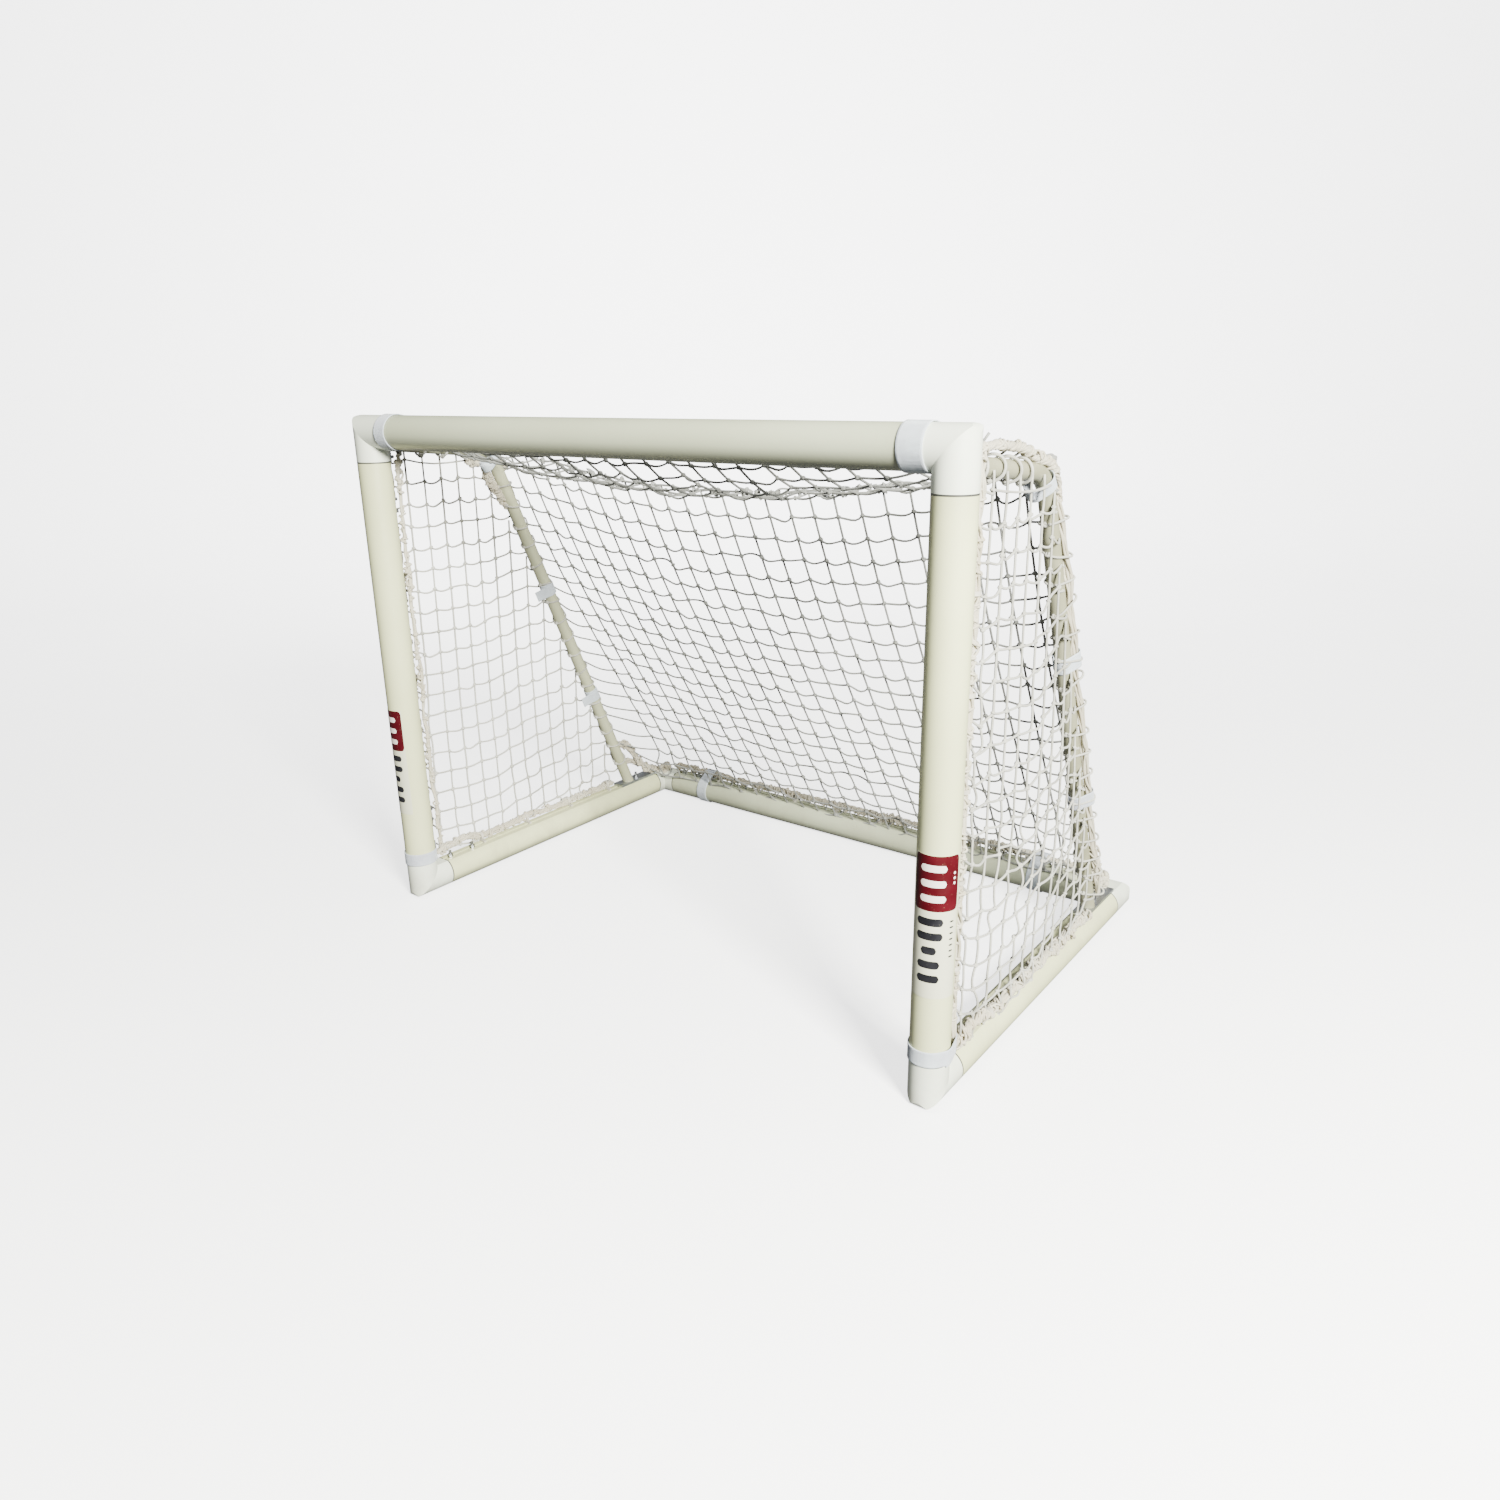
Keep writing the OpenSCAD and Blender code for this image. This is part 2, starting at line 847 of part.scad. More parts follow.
left_roof_hem();
on_right() left_roof_hem();  // right_roof_hem
left_stay_hem();
on_right() left_stay_hem();  // right_stay_hem
roof_seam_rope();
left_side_net();
on_right() left_side_net();  // right_side_net
roof_net();
back_net();
crossbar_strap(-left_bar_strap_x, left_bar_strap_w);  // left_crossbar_strap
crossbar_strap(right_bar_strap_x, bar_strap_w);  // right_crossbar_strap
left_post_strap();
on_right() left_post_strap();  // right_post_strap
left_rear_strap();
on_right() left_rear_strap();  // right_rear_strap
left_stay_straps();
on_right() left_stay_straps();  // right_stay_straps
left_post_decal();
on_right() left_post_decal();  // right_post_decal
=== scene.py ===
import math

import bpy
import numpy as np
from mathutils import Matrix, Vector


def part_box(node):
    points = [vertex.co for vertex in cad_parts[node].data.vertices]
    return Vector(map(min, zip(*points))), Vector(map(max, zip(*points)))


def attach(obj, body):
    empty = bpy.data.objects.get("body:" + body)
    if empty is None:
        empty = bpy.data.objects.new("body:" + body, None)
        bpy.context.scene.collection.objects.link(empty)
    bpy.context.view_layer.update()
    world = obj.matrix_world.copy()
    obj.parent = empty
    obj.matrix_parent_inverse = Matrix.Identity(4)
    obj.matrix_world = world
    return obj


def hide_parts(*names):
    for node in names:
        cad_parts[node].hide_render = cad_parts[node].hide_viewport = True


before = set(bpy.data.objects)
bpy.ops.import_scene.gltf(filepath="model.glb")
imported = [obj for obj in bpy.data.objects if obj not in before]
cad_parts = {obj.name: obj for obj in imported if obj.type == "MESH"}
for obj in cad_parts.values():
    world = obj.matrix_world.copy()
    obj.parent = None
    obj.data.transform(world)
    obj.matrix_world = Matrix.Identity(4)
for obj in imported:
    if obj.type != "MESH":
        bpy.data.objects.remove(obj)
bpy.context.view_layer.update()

# The looks of a practice goal: a coated tube frame with a knotted net behind it.
# Metres, in the CAD's frame: X along the crossbar, Y from the mouth to the rear bar, Z up.

SIDES = {"left": -1, "right": 1}
X, Y, Z = (np.array(v, float) for v in ((1, 0, 0), (0, 1, 0), (0, 0, 1)))

# ---- The frame's lines, from the CAD nodes ----


def middle(node, axis):
    low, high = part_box(node)
    return (low[axis] + high[axis]) / 2


def half(node, axis):
    low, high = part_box(node)
    return (high[axis] - low[axis]) / 2


def node_points(node):
    return np.array([v.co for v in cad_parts[node].data.vertices], float)


def ring_centre(points, axis, near_low):
    """The middle of the points that lie at the lowest or the front end of a tube."""
    end = points[points[:, axis] < points[:, axis].min() + near_low]
    return (end.min(0) + end.max(0)) / 2


TUBE_R = half("crossbar", 2)
POST_X = middle("right_post", 0)
FRONT_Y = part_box("crossbar")[0].y + TUBE_R
REAR_Y = middle("rear_bar", 1)
BASE_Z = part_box("rear_bar")[0].z + TUBE_R
BAR_Z = middle("crossbar", 2)

HEM_R = half("crossbar_hem", 2)
HEM_LIFT = middle("crossbar_hem", 1) - FRONT_Y
HEM_SIDE = middle("crossbar_hem", 2) - BAR_Z

RUN_ANGLE = math.radians(-6.0)
LEG_ANGLE = math.radians(-66.74)
STAY_R = half("right_stay", 0)
STAY_START = ring_centre(node_points("right_stay"), 1, 0.0005)[1:]
STAY_FOOT = ring_centre(node_points("right_stay"), 2, 0.0005)[1:]
RUN_DIR = np.array([math.cos(RUN_ANGLE), math.sin(RUN_ANGLE)])
LEG_DIR = np.array([math.cos(LEG_ANGLE), math.sin(LEG_ANGLE)])
LEG_BACK = np.array([-LEG_DIR[1], LEG_DIR[0]])
STAY_BEND = STAY_START + RUN_DIR * (
    np.cross(STAY_FOOT - STAY_START, LEG_DIR) / np.cross(RUN_DIR, LEG_DIR)
)

SEAM_Y = middle("roof_seam_rope", 1)
SEAM_ROPE_R = half("roof_seam_rope", 1)
SEAM_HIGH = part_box("roof_seam_rope")[1].z - SEAM_ROPE_R
ROOF_SAG = SEAM_HIGH - SEAM_ROPE_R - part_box("roof_seam_rope")[0].z
PANEL_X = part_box("back_net")[1].x


def leg_y(z):
    """Where a stay's leg is at a height."""
    return STAY_BEND[0] + (STAY_BEND[1] - z) * (STAY_FOOT[0] - STAY_BEND[0]) / (
        STAY_BEND[1] - STAY_FOOT[1]
    )


def seam_z(x):
    return SEAM_HIGH - ROOF_SAG * (1 - np.clip(x / PANEL_X, -1, 1) ** 2)


# ---- Net sizes ----

MESH = 0.0615
# The sides hang closer than the mesh that the back shows.
SIDE_PITCH = 0.054
TWINE_R = 0.0025
TWINE_SIDES = 6
SLACK = 0.035
SIDE_SLACK = {-1: 0.045, 1: 0.075}
GRAVITY = 0.00009
BACK_COLUMNS = 12
ROOF_ROWS = 7
BACK_ROWS = 22
SETTLE_STEPS = 90

# ---- Meshes built from tubes ----


class Build:
    """Points, faces and UVs of one piece. A UV is (metres along, metres or turns across)."""

    def __init__(self):
        self.points, self.faces, self.uvs, self.count = [], [], [], 0

    def add(self, points, faces, uvs):
        self.points.append(np.asarray(points, float))
        self.faces.extend((np.asarray(f) + self.count).tolist() for f in faces)
        self.uvs.extend(uvs)
        self.count += len(points)

    def piece(self, name, material, smooth=True):
        mesh = bpy.data.meshes.new(name)
        mesh.from_pydata(np.concatenate(self.points).tolist(), [], self.faces)
        layer = mesh.uv_layers.new(name="along")
        layer.data.foreach_set("uv", np.concatenate(self.uvs).astype(np.float32).ravel())
        mesh.polygons.foreach_set("use_smooth", [smooth] * len(mesh.polygons))
        mesh.materials.append(material)
        mesh.validate()
        mesh.update()
        made = bpy.data.objects.new(name, mesh)
        bpy.context.scene.collection.objects.link(made)
        return made


def unit(v):
    return v / np.maximum(np.linalg.norm(v, axis=-1, keepdims=True), 1e-12)


def lengths(path):
    return np.concatenate([[0], np.cumsum(np.linalg.norm(np.diff(path, axis=0), axis=1))])


def resample(path, step):
    path = np.asarray(path, float)
    along = lengths(path)
    at = np.linspace(0, along[-1], max(2, int(round(along[-1] / step)) + 1))
    return np.stack([np.interp(at, along, path[:, k]) for k in range(3)], axis=1)


def smooth_path(points, step=0.006):
    """A Catmull-Rom curve through a few points, evenly spaced."""
    p = np.asarray(points, float)
    p = np.concatenate([[2 * p[0] - p[1]], p, [2 * p[-1] - p[-2]]])
    t = np.linspace(0, 1, 24, endpoint=False)[:, None]
    out = []
    for a, b, c, d in zip(p, p[1:], p[2:], p[3:]):
        out.append(
            0.5 * (2 * b + (c - a) * t + (2 * a - 5 * b + 4 * c - d) * t**2
                   + (3 * b - a - 3 * c + d) * t**3)
        )
    out.append(p[-2][None])
    return resample(np.concatenate(out), step)


def frames(path, closed=False):
    """A tangent, a side and an up vector at each point, turning as little as possible."""
    if closed:
        tangent = unit(np.roll(path, -1, 0) - np.roll(path, 1, 0))
    else:
        tangent = unit(np.gradient(path, axis=0))
    first = Z if abs(tangent[0][2]) < 0.9 else X
    side = np.empty_like(path)
    last = unit(np.cross(tangent[0], first))
    for i, t in enumerate(tangent):
        last = unit(last - t * (last @ t))
        side[i] = last
    return tangent, side, np.cross(side, tangent)


def ring_faces(rings, sides, closed=False):
    i = np.arange(rings if closed else rings - 1)[:, None]
    k = np.arange(sides)[None]
    a = i * sides + k
    b = i * sides + (k + 1) % sides
    nxt = ((i + 1) % rings) * sides
    return np.stack([a, b, nxt + (k + 1) % sides, nxt + k], axis=-1).reshape(-1, 4)


def add_tube(build, path, radius, sides=TWINE_SIDES, closed=False):
    """A closed tube along a path. radius is a number or one for each point."""
    path = np.asarray(path, float)
    n = len(path)
    _, side, up = frames(path, closed)
    r = np.broadcast_to(np.asarray(radius, float), (n,))[:, None, None]
    turn = np.arange(sides) * 2 * math.pi / sides
    ring = np.cos(turn)[None, :, None] * side[:, None] + np.sin(turn)[None, :, None] * up[:, None]
    points = (path[:, None] + r * ring).reshape(-1, 3)
    faces = ring_faces(n, sides, closed)
    s = lengths(path)
    loops = n if closed else n - 1
    s = np.append(s, s[-1] + MESH) if closed else s
    i, k = np.divmod(np.arange(loops * sides), sides)
    across = k / sides
    uv = np.stack(
        [np.stack([s[i], across], 1), np.stack([s[i], across + 1 / sides], 1),
         np.stack([s[i + 1], across + 1 / sides], 1), np.stack([s[i + 1], across], 1)], axis=1,
    ).reshape(-1, 2)
    faces = list(faces)
    uvs = [uv]
    if not closed:
        faces.append(np.arange(sides)[::-1])
        faces.append(np.arange(sides) + (n - 1) * sides)
        uvs.append(np.stack([np.full(2 * sides, s[0]), np.tile(turn / (2 * math.pi), 2)], 1))
    build.add(points, faces, uvs)


def wander(rng, count, step, reach):
    """Smooth random numbers from -1 to 1 along a path, changing over the given reach."""
    knots = max(4, int(count * step / reach) + 3)
    values = rng.uniform(-1, 1, knots)
    at = np.linspace(0, knots - 1, count)
    i = np.minimum(at.astype(int), knots - 2)
    k = at - i
    k = k * k * (3 - 2 * k)
    return values[i] * (1 - k) + values[i + 1] * k


def add_bundle(build, path, radius, strands, turns, seed, strand_r=0.0028, loose=0.0025):
    """Net gathered into a hem: strands that wind round a line, swell and pull in."""
    rng = np.random.default_rng(seed)
    step = 0.006
    path = resample(path, step)
    n = len(path)
    _, side, up = frames(path)
    drift = [wander(rng, n, step, 0.07)[:, None] * loose for _ in range(2)]
    centre = path + side * drift[0] + up * drift[1]
    s = lengths(path)
    swell = 1 + 0.22 * wander(rng, n, step, 0.045)
    for k in range(strands):
        own = 0.55 * wander(rng, n, step, 0.06)
        angle = 2 * math.pi * (k / strands + turns * s + 0.25 * wander(rng, n, step, 0.12)) + own
        reach = (radius - strand_r) * swell * (1 + 0.25 * wander(rng, n, step, 0.04))
        reach = np.clip(reach, strand_r * 0.6, radius * 1.18 - strand_r)
        line = centre + (np.cos(angle) * reach)[:, None] * side + (np.sin(angle) * reach)[:, None] * up
        thick = strand_r * (1 + 0.18 * wander(rng, n, step, 0.03))
        add_tube(build, line, thick, 6)
    core = centre + side * (0.2 * strand_r)
    add_tube(build, core, np.full(n, max(radius - 1.6 * strand_r, strand_r)), 6)


def add_lashings(build, path, radius, seed, spacing=MESH, twine=TWINE_R, start=0.02):
    """Loops of net twine tied round a hem at each mesh, each with its knot."""
    rng = np.random.default_rng(seed)
    fine = resample(path, 0.004)
    tangent, side, up = frames(fine)
    s = lengths(fine)
    at = start
    while at < s[-1] - 0.012:
        i = int(np.searchsorted(s, at))
        lean = rng.uniform(-0.5, 0.5, 2)
        turn = np.linspace(0, 2 * math.pi, 15)[:-1] + rng.uniform(0, 6)
        r = radius * (1 + 0.08 * rng.uniform(-1, 1))
        flat = np.cos(turn)[:, None] * side[i] + np.sin(turn)[:, None] * up[i]
        tip = (lean[0] * np.cos(turn) + lean[1] * np.sin(turn))[:, None] * tangent[i]
        add_tube(build, fine[i] + r * (flat + tip), twine, 5, closed=True)
        add_knot(build, fine[i] + r * (flat[0] + tip[0]), unit(flat[0]), tangent[i], rng, 0.9)
        at += spacing * rng.uniform(0.85, 1.15)


def thick_middle(t):
    return np.sqrt(np.sin(math.pi * np.clip(t, 0.02, 0.98)))


def add_tangle(build, path, radius, loops, seed, reach=0.05, bulk=thick_middle):
    """Loose loops of net bunched round a line. bulk gives their share of the radius along it."""
    rng = np.random.default_rng(seed)
    fine = resample(path, 0.004)
    tangent, side, up = frames(fine)
    n = len(fine)
    for _ in range(loops):
        start = int(rng.integers(0, max(1, n - 4)))
        span = int(rng.integers(4, max(6, int(reach / 0.004))))
        at = np.clip(np.linspace(start, start + span, 5).astype(int), 0, n - 1)
        turn = rng.uniform(0, 2 * math.pi) + np.cumsum(rng.uniform(0.5, 1.6, 5)) * rng.choice([-1, 1])
        out = radius * bulk(at / n) * rng.uniform(0.5, 1.0, 5)
        way = np.cos(turn)[:, None] * side[at] + np.sin(turn)[:, None] * up[at]
        spots = fine[at] + out[:, None] * way
        add_tube(build, smooth_path(spots, 0.004), TWINE_R, 5)
        add_knot(build, spots[2], way[2], tangent[at[2]], rng, 1.05)


# ---- Knots ----


def bight():
    """The doubled strand of a net knot."""
    t = np.linspace(-1, 1, 8)
    across = 0.0024 * np.sin(t * math.pi / 2 * 1.15)
    return np.stack([across, np.full(8, -0.0007), 0.0036 - 0.0078 * np.abs(t) ** 2.2], axis=1)


def wrap():
    """The turn that another strand takes round the bight."""
    t = np.linspace(0, 2 * math.pi, 10)[:-1]
    return np.stack(
        [0.0042 * np.cos(t), 0.0030 * np.sin(t) - 0.0003, 0.0012 * np.cos(t) - 0.0002], axis=1
    )


BIGHT, WRAP = bight(), wrap()


def add_knot(build, place, out, along, rng, size=1.0):
    """A net knot: its wrap lies across `along`, and it faces `out`."""
    out = unit(np.asarray(out, float))
    along = unit(along - out * (along @ out))
    across = np.cross(out, along)
    axes = np.stack([across, out, along])
    lean = rng.uniform(-0.35, 0.35)
    c, s = math.cos(lean), math.sin(lean)
    spin = np.array([[c, 0, s], [0, 1, 0], [-s, 0, c]])
    scale = size * rng.uniform(0.88, 1.15)
    flip = np.array([rng.choice([-1, 1]), 1, rng.choice([-1, 1])])
    for line, closed in ((BIGHT, False), (WRAP, True)):
        add_tube(build, place + (line * flip * scale) @ spin @ axes, TWINE_R * 1.02 * size, 5, closed)


# ---- The net: knots joined by legs of a fixed length, hung and settled ----


class Net:
    """Knots, which of them are tied to the frame, and the strands that run through them."""

    def __init__(self):
        self.points, self.tied, self.rows, self.columns = [], [], [], []

    @property
    def strands(self):
        return self.rows + self.columns

    def knot(self, point, tied=False):
        self.points.append(np.asarray(point, float))
        self.tied.append(tied)
        return len(self.points) - 1

    def settle(self, seed, slack=SLACK, push=None):
        """Lets the net hang: legs only hold when they are taut."""
        rng = np.random.default_rng(seed)
        p = np.array(self.points)
        tied = np.array(self.tied)
        pairs = np.array([(a, b) for s in self.strands for a, b in zip(s, s[1:])])
        a, b = pairs.T
        rest = np.linalg.norm(p[a] - p[b], axis=1) * (1 + slack * rng.uniform(0.2, 2.0, len(a)))
        wa, wb = (~tied[a]).astype(float), (~tied[b]).astype(float)
        share = np.maximum(np.bincount(a, wa, len(p)) + np.bincount(b, wb, len(p)), 1)
        p += rng.normal(0, 0.0022, p.shape) * (~tied)[:, None]
        last = p.copy()
        pull = np.array([0, 0, -GRAVITY])
        for _ in range(SETTLE_STEPS):
            move = (p - last) * 0.9 + pull
            if push is not None:
                move = move + push(p)
            last = p.copy()
            p = p + move * (~tied)[:, None]
            for _ in range(14):
                d = p[b] - p[a]
                long = np.linalg.norm(d, axis=1)
                over = np.maximum(long - rest, 0) / np.maximum(long, 1e-9)
                fix = d * (over / np.maximum(wa + wb, 1))[:, None]
                for k in range(3):
                    p[:, k] += 1.5 * (
                        np.bincount(a, fix[:, k] * wa, len(p)) - np.bincount(b, fix[:, k] * wb, len(p))
                    ) / share
        self.points = p
        self.rest = dict(zip(map(tuple, pairs.tolist()), rest))
        return self

    def strand_path(self, strand, rng):
        """The line of one strand: it runs from knot to knot, and bows where it is slack."""
        t = np.linspace(0, 1, 7)[:-1]
        bow = (4 * t * (1 - t))[:, None]
        out = []
        for a, b in zip(strand, strand[1:]):
            start, end = self.points[a], self.points[b]
            way = end - start
            long = np.linalg.norm(way)
            spare = max(self.rest[(a, b)] * 1.004 - long, 0)
            depth = min(math.sqrt(0.375 * long * spare), 0.011)
            down = np.array([0, 0, -1.0]) * abs(unit(way) @ np.array([1, 1, 0])) + rng.normal(0, 0.6, 3)
            down = unit(down - unit(way) * (down @ unit(way)))
            skew = rng.uniform(-0.3, 0.3) * np.sin(2 * math.pi * t)[:, None]
            out.append(start + way * t[:, None] + down * depth * (bow + skew))
        out.append(self.points[strand[-1]][None])
        return np.concatenate(out)

    def twine(self, name, material, seed):
        rng = np.random.default_rng(seed)
        build = Build()
        for strand in self.strands:
            if len(strand) > 1:
                add_tube(build, self.strand_path(strand, rng), TWINE_R)
        return build.piece(name, material)

    def knots(self, name, material, out, seed):
        rng = np.random.default_rng(seed)
        build = Build()
        crossing = np.bincount(np.concatenate([s for s in self.strands]), minlength=len(self.points))
        for i, p in enumerate(self.points):
            if crossing[i] > 1 and not self.tied[i]:
                add_knot(build, p, out, Z + rng.normal(0, 0.15, 3), rng)
        return build.piece(name, material)


def woven(rows):
    """A net from rows of points. The outer points are tied, and every row and column is a strand."""
    net = Net()
    last_row, last_column = len(rows) - 1, len(rows[0]) - 1
    index = [
        [net.knot(p, i in (0, last_row) or j in (0, last_column)) for j, p in enumerate(row)]
        for i, row in enumerate(rows)
    ]
    net.rows = index[1:-1]
    net.columns = [[row[j] for row in index] for j in range(1, last_column)]
    return net


# ---- Where the net's edges are tied ----


def stay_hem_at(side, z):
    """The middle of the gathered hem on a stay's leg: behind it at the top, outside it lower down."""
    low = np.clip((STAY_BEND[1] - z) / (STAY_BEND[1] - STAY_FOOT[1]), 0, 1)
    outward = 0.014 + 0.011 * low
    behind = 0.022 - 0.010 * low
    y = leg_y(z) + behind / LEG_BACK[0]
    return np.array([side * (POST_X + outward), y, z])


LEAVE_Z = 0.215
CORNER = np.array([POST_X - 0.025, REAR_Y - 0.008, BASE_Z + 0.047])
HEM_BASE_Z = BASE_Z + HEM_LIFT


def corner_rope(side):
    """The edge of the net from where it leaves the stay to the rear corner."""
    y, z = stay_hem_at(side, LEAVE_Z)[1:]
    spots = [
        stay_hem_at(side, LEAVE_Z + 0.06), (side * 0.806, y + 0.012, z - 0.002),
        (side * 0.798, y + 0.05, z - 0.010), (side * 0.788, y + 0.085, z - 0.065),
        (side * 0.776, y + 0.125, z - 0.112), CORNER * (side, 1, 1),
    ]
    return smooth_path(spots)


def back_edge(side, z):
    """Where the back net is tied at a height."""
    if z > LEAVE_Z:
        return stay_hem_at(side, z)
    rope = corner_rope(side)
    return rope[int(np.argmin(np.abs(rope[:, 2] - z) + np.where(rope[:, 1] < 0.3, 1, 0)))]


def roof_net():
    """From the crossbar's hem back to the seam between the stays."""
    y0, z0 = FRONT_Y + HEM_LIFT, BAR_Z + HEM_SIDE
    rows = []
    for i in range(ROOF_ROWS + 1):
        t = i / ROOF_ROWS
        row = []
        for j in range(-BACK_COLUMNS - 1, BACK_COLUMNS + 2):
            x = np.clip(j * MESH, -0.800, 0.800)
            edge = abs(j) == BACK_COLUMNS + 1
            z = z0 + t * (seam_z(x) - z0) + (0.012 * (1 - t) if edge else 0)
            row.append((x, y0 + t * (SEAM_Y - y0), z))
        rows.append(row)
    return woven(rows)


def back_net():
    """From the seam down to the rear bar's hem, tied to the stays' hems on both sides."""
    low_y, low_z = REAR_Y + HEM_SIDE - 0.003, HEM_BASE_Z
    rows = []
    for i in range(BACK_ROWS + 1):
        t = i / BACK_ROWS
        row = []
        for j in range(-BACK_COLUMNS - 1, BACK_COLUMNS + 2):
            x = np.clip(j * MESH, -PANEL_X, PANEL_X)
            s = x / PANEL_X
            high = seam_z(x) - 0.002
            z = high + t * (low_z - high)
            centre = SEAM_Y + t * (low_y - SEAM_Y)
            side_z = SEAM_HIGH + t * (low_z - SEAM_HIGH)
            edge_y = max(leg_y(z) + 0.026, centre) if z > LEAVE_Z else low_y - (low_y - leg_y(z)) * z * 2
            if abs(j) == BACK_COLUMNS + 1:
                row.append(back_edge(int(np.sign(j)), side_z))
            else:
                row.append((x, centre + (edge_y - centre) * abs(s) ** 4, z))
        rows.append(row)
    return woven(rows)


def side_net(side):
    """Rows and columns between the post's hem, the side tube's hem, the stay and its top run."""
    rng = np.random.default_rng(11 + side)
    net = Net()
    x_post = side * (POST_X + HEM_SIDE)
    y0, z0 = FRONT_Y + HEM_LIFT, HEM_BASE_Z
    x_net = side * (POST_X + 0.021)
    row_z = z0 + SIDE_PITCH * np.arange(1, 22)
    column_y = y0 + SIDE_PITCH * np.arange(1, 16)
    top_z = lambda y: STAY_START[1] + (y - STAY_START[0]) * math.tan(RUN_ANGLE)
    at = {}
    for i, z in enumerate(row_z):
        for j, y in enumerate(column_y):
            if y < leg_y(z) - 0.012 and z < top_z(y) - 0.030:
                at[i, j] = net.knot((x_net, y, z))
    for i, z in enumerate(row_z):
        row = [at[i, j] for j in range(len(column_y)) if (i, j) in at]
        if row:
            start = net.knot((x_post, y0, z + rng.normal(0, 0.006)), True)
            y_end = leg_y(z - 0.012) - 0.004
            end = net.knot((side * (POST_X + STAY_R + 0.001), y_end, z - 0.012), True)
            net.rows.append([start, *row, end])
    for j, y in enumerate(column_y):
        column = [at[i, j] for i in range(len(row_z)) if (i, j) in at]
        if column:
            start = net.knot((x_post, y + rng.normal(0, 0.006), z0), True)
            under_run = y < STAY_BEND[0] - 0.03
            z_end = top_z(y) - 0.004 if under_run else z0 + SIDE_PITCH * (len(column) + 0.55)
            z_end = z_end if under_run else min(z_end, STAY_BEND[1] - (y + 0.004 - STAY_BEND[0]) * 2.38)
            end = net.knot((side * (POST_X + STAY_R + 0.001), y, z_end), True)
            net.columns.append([start, *column, end])
    return net


def blow(centre_y, centre_z, amount):
    """A push that makes a hanging panel bulge a little."""
    def push(p):
        near = np.exp(-((p[:, 1] - centre_y) ** 2 + (p[:, 2] - centre_z) ** 2) / 0.08)
        return np.stack([amount * near, 0 * near, 0 * near], axis=1)
    return push


# ---- Materials ----


class Shader:
    """A material whose nodes are made by short calls."""

    def __init__(self, name):
        self.material = bpy.data.materials.new(name)
        self.material.use_nodes = True
        self.tree = self.material.node_tree
        self.shader = self.tree.nodes["Principled BSDF"]
        self.position = self.add("ShaderNodeTexCoord").outputs["Object"]

    def add(self, kind, inputs=(), **settings):
        made = self.tree.nodes.new(kind)
        for key, value in settings.items():
            setattr(made, key, value)
        for key, value in dict(inputs).items():
            self.feed(made.inputs[key], value)
        return made

    def feed(self, socket, value):
        if isinstance(value, bpy.types.NodeSocket):
            self.tree.links.new(value, socket)
        else:
            socket.default_value = value

    def math(self, operation, a, b=0.0, clamp=False):
        made = self.add("ShaderNodeMath", {0: a, 1: b}, operation=operation, use_clamp=clamp)
        return made.outputs[0]

    def noise(self, scale, detail=3.0, rough=0.5, where=None, distort=0.0):
        inputs = {"Vector": where or self.position, "Scale": scale, "Detail": detail,
                  "Roughness": rough, "Distortion": distort}
        return self.add("ShaderNodeTexNoise", inputs).outputs["Fac"]

    def ramp(self, value, low, high, to_low=0.0, to_high=1.0):
        inputs = {"Value": value, "From Min": low, "From Max": high,
                  "To Min": to_low, "To Max": to_high}
        return self.add("ShaderNodeMapRange", inputs, clamp=True).outputs["Result"]

    def mix(self, share, a, b, blend="MIX"):
        inputs = {0: share, 6: a, 7: b}
        made = self.add("ShaderNodeMix", inputs, data_type="RGBA", blend_type=blend)
        return made.outputs[2]

    def scaled(self, x, y, z):
        inputs = {0: self.position, 1: (x, y, z)}
        return self.add("ShaderNodeVectorMath", inputs, operation="MULTIPLY").outputs[0]

    def uv(self):
        source = self.add("ShaderNodeUVMap", uv_map="along")
        split = self.add("ShaderNodeSeparateXYZ", {0: source.outputs[0]})
        return split.outputs[0], split.outputs[1]

    def bump(self, height, strength, distance):
        inputs = {"Height": height, "Strength": strength, "Distance": distance}
        self.feed(self.shader.inputs["Normal"], self.add("ShaderNodeBump", inputs).outputs[0])

    def set(self, **sockets):
        for key, value in sockets.items():
            self.feed(self.shader.inputs[key.replace("_", " ")], value)
        return self.material


def rgb(r, g, b):
    return (r, g, b, 1.0)


CREAM = rgb(0.64, 0.655, 0.38)
CREAM_DEEP = rgb(0.54, 0.555, 0.315)
# Painted shade: greyer, darker copies of the cream for the crossbar and the rear bar.
BAR_CREAM_PAINTED_SHADE = rgb(0.46, 0.49, 0.345)
BAR_DEEP_PAINTED_SHADE = rgb(0.40, 0.425, 0.29)
# Painted shade for the coat's faces that point down.
UNDERSIDE_PAINTED_SHADE = rgb(0.23, 0.235, 0.165)
ELBOW_WHITE = rgb(0.75, 0.79, 0.67)
GRIME = rgb(0.28, 0.25, 0.18)
# Painted shadow for the seam gaps between tubes and elbows.
SEAM_GAP_SHADE = rgb(0.05, 0.05, 0.045)
TWINE_TAN = rgb(0.38, 0.335, 0.235)
STRAP_WHITE = rgb(0.52, 0.58, 0.62)
MAROON = rgb(0.045, 0.0008, 0.003)
PRINT_BLACK = rgb(0.008, 0.008, 0.010)


def seam_shade(s, node, axis):
    """How near a point is to either end of a CAD tube: 1 in the thin gap at its seam, where a shadow line is
    painted.
    """
    low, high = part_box(node)
    split = s.add("ShaderNodeSeparateXYZ", {0: s.position}).outputs[axis]
    from_low = s.math("SUBTRACT", split, low[axis])
    from_high = s.math("SUBTRACT", high[axis], split)
    gap = s.math("MINIMUM", from_low, from_high)
    return s.ramp(gap, 0.0030, 0.0042, 1.0, 0.0), s.ramp(gap, 0.0, 0.05, 1.0, 0.0)


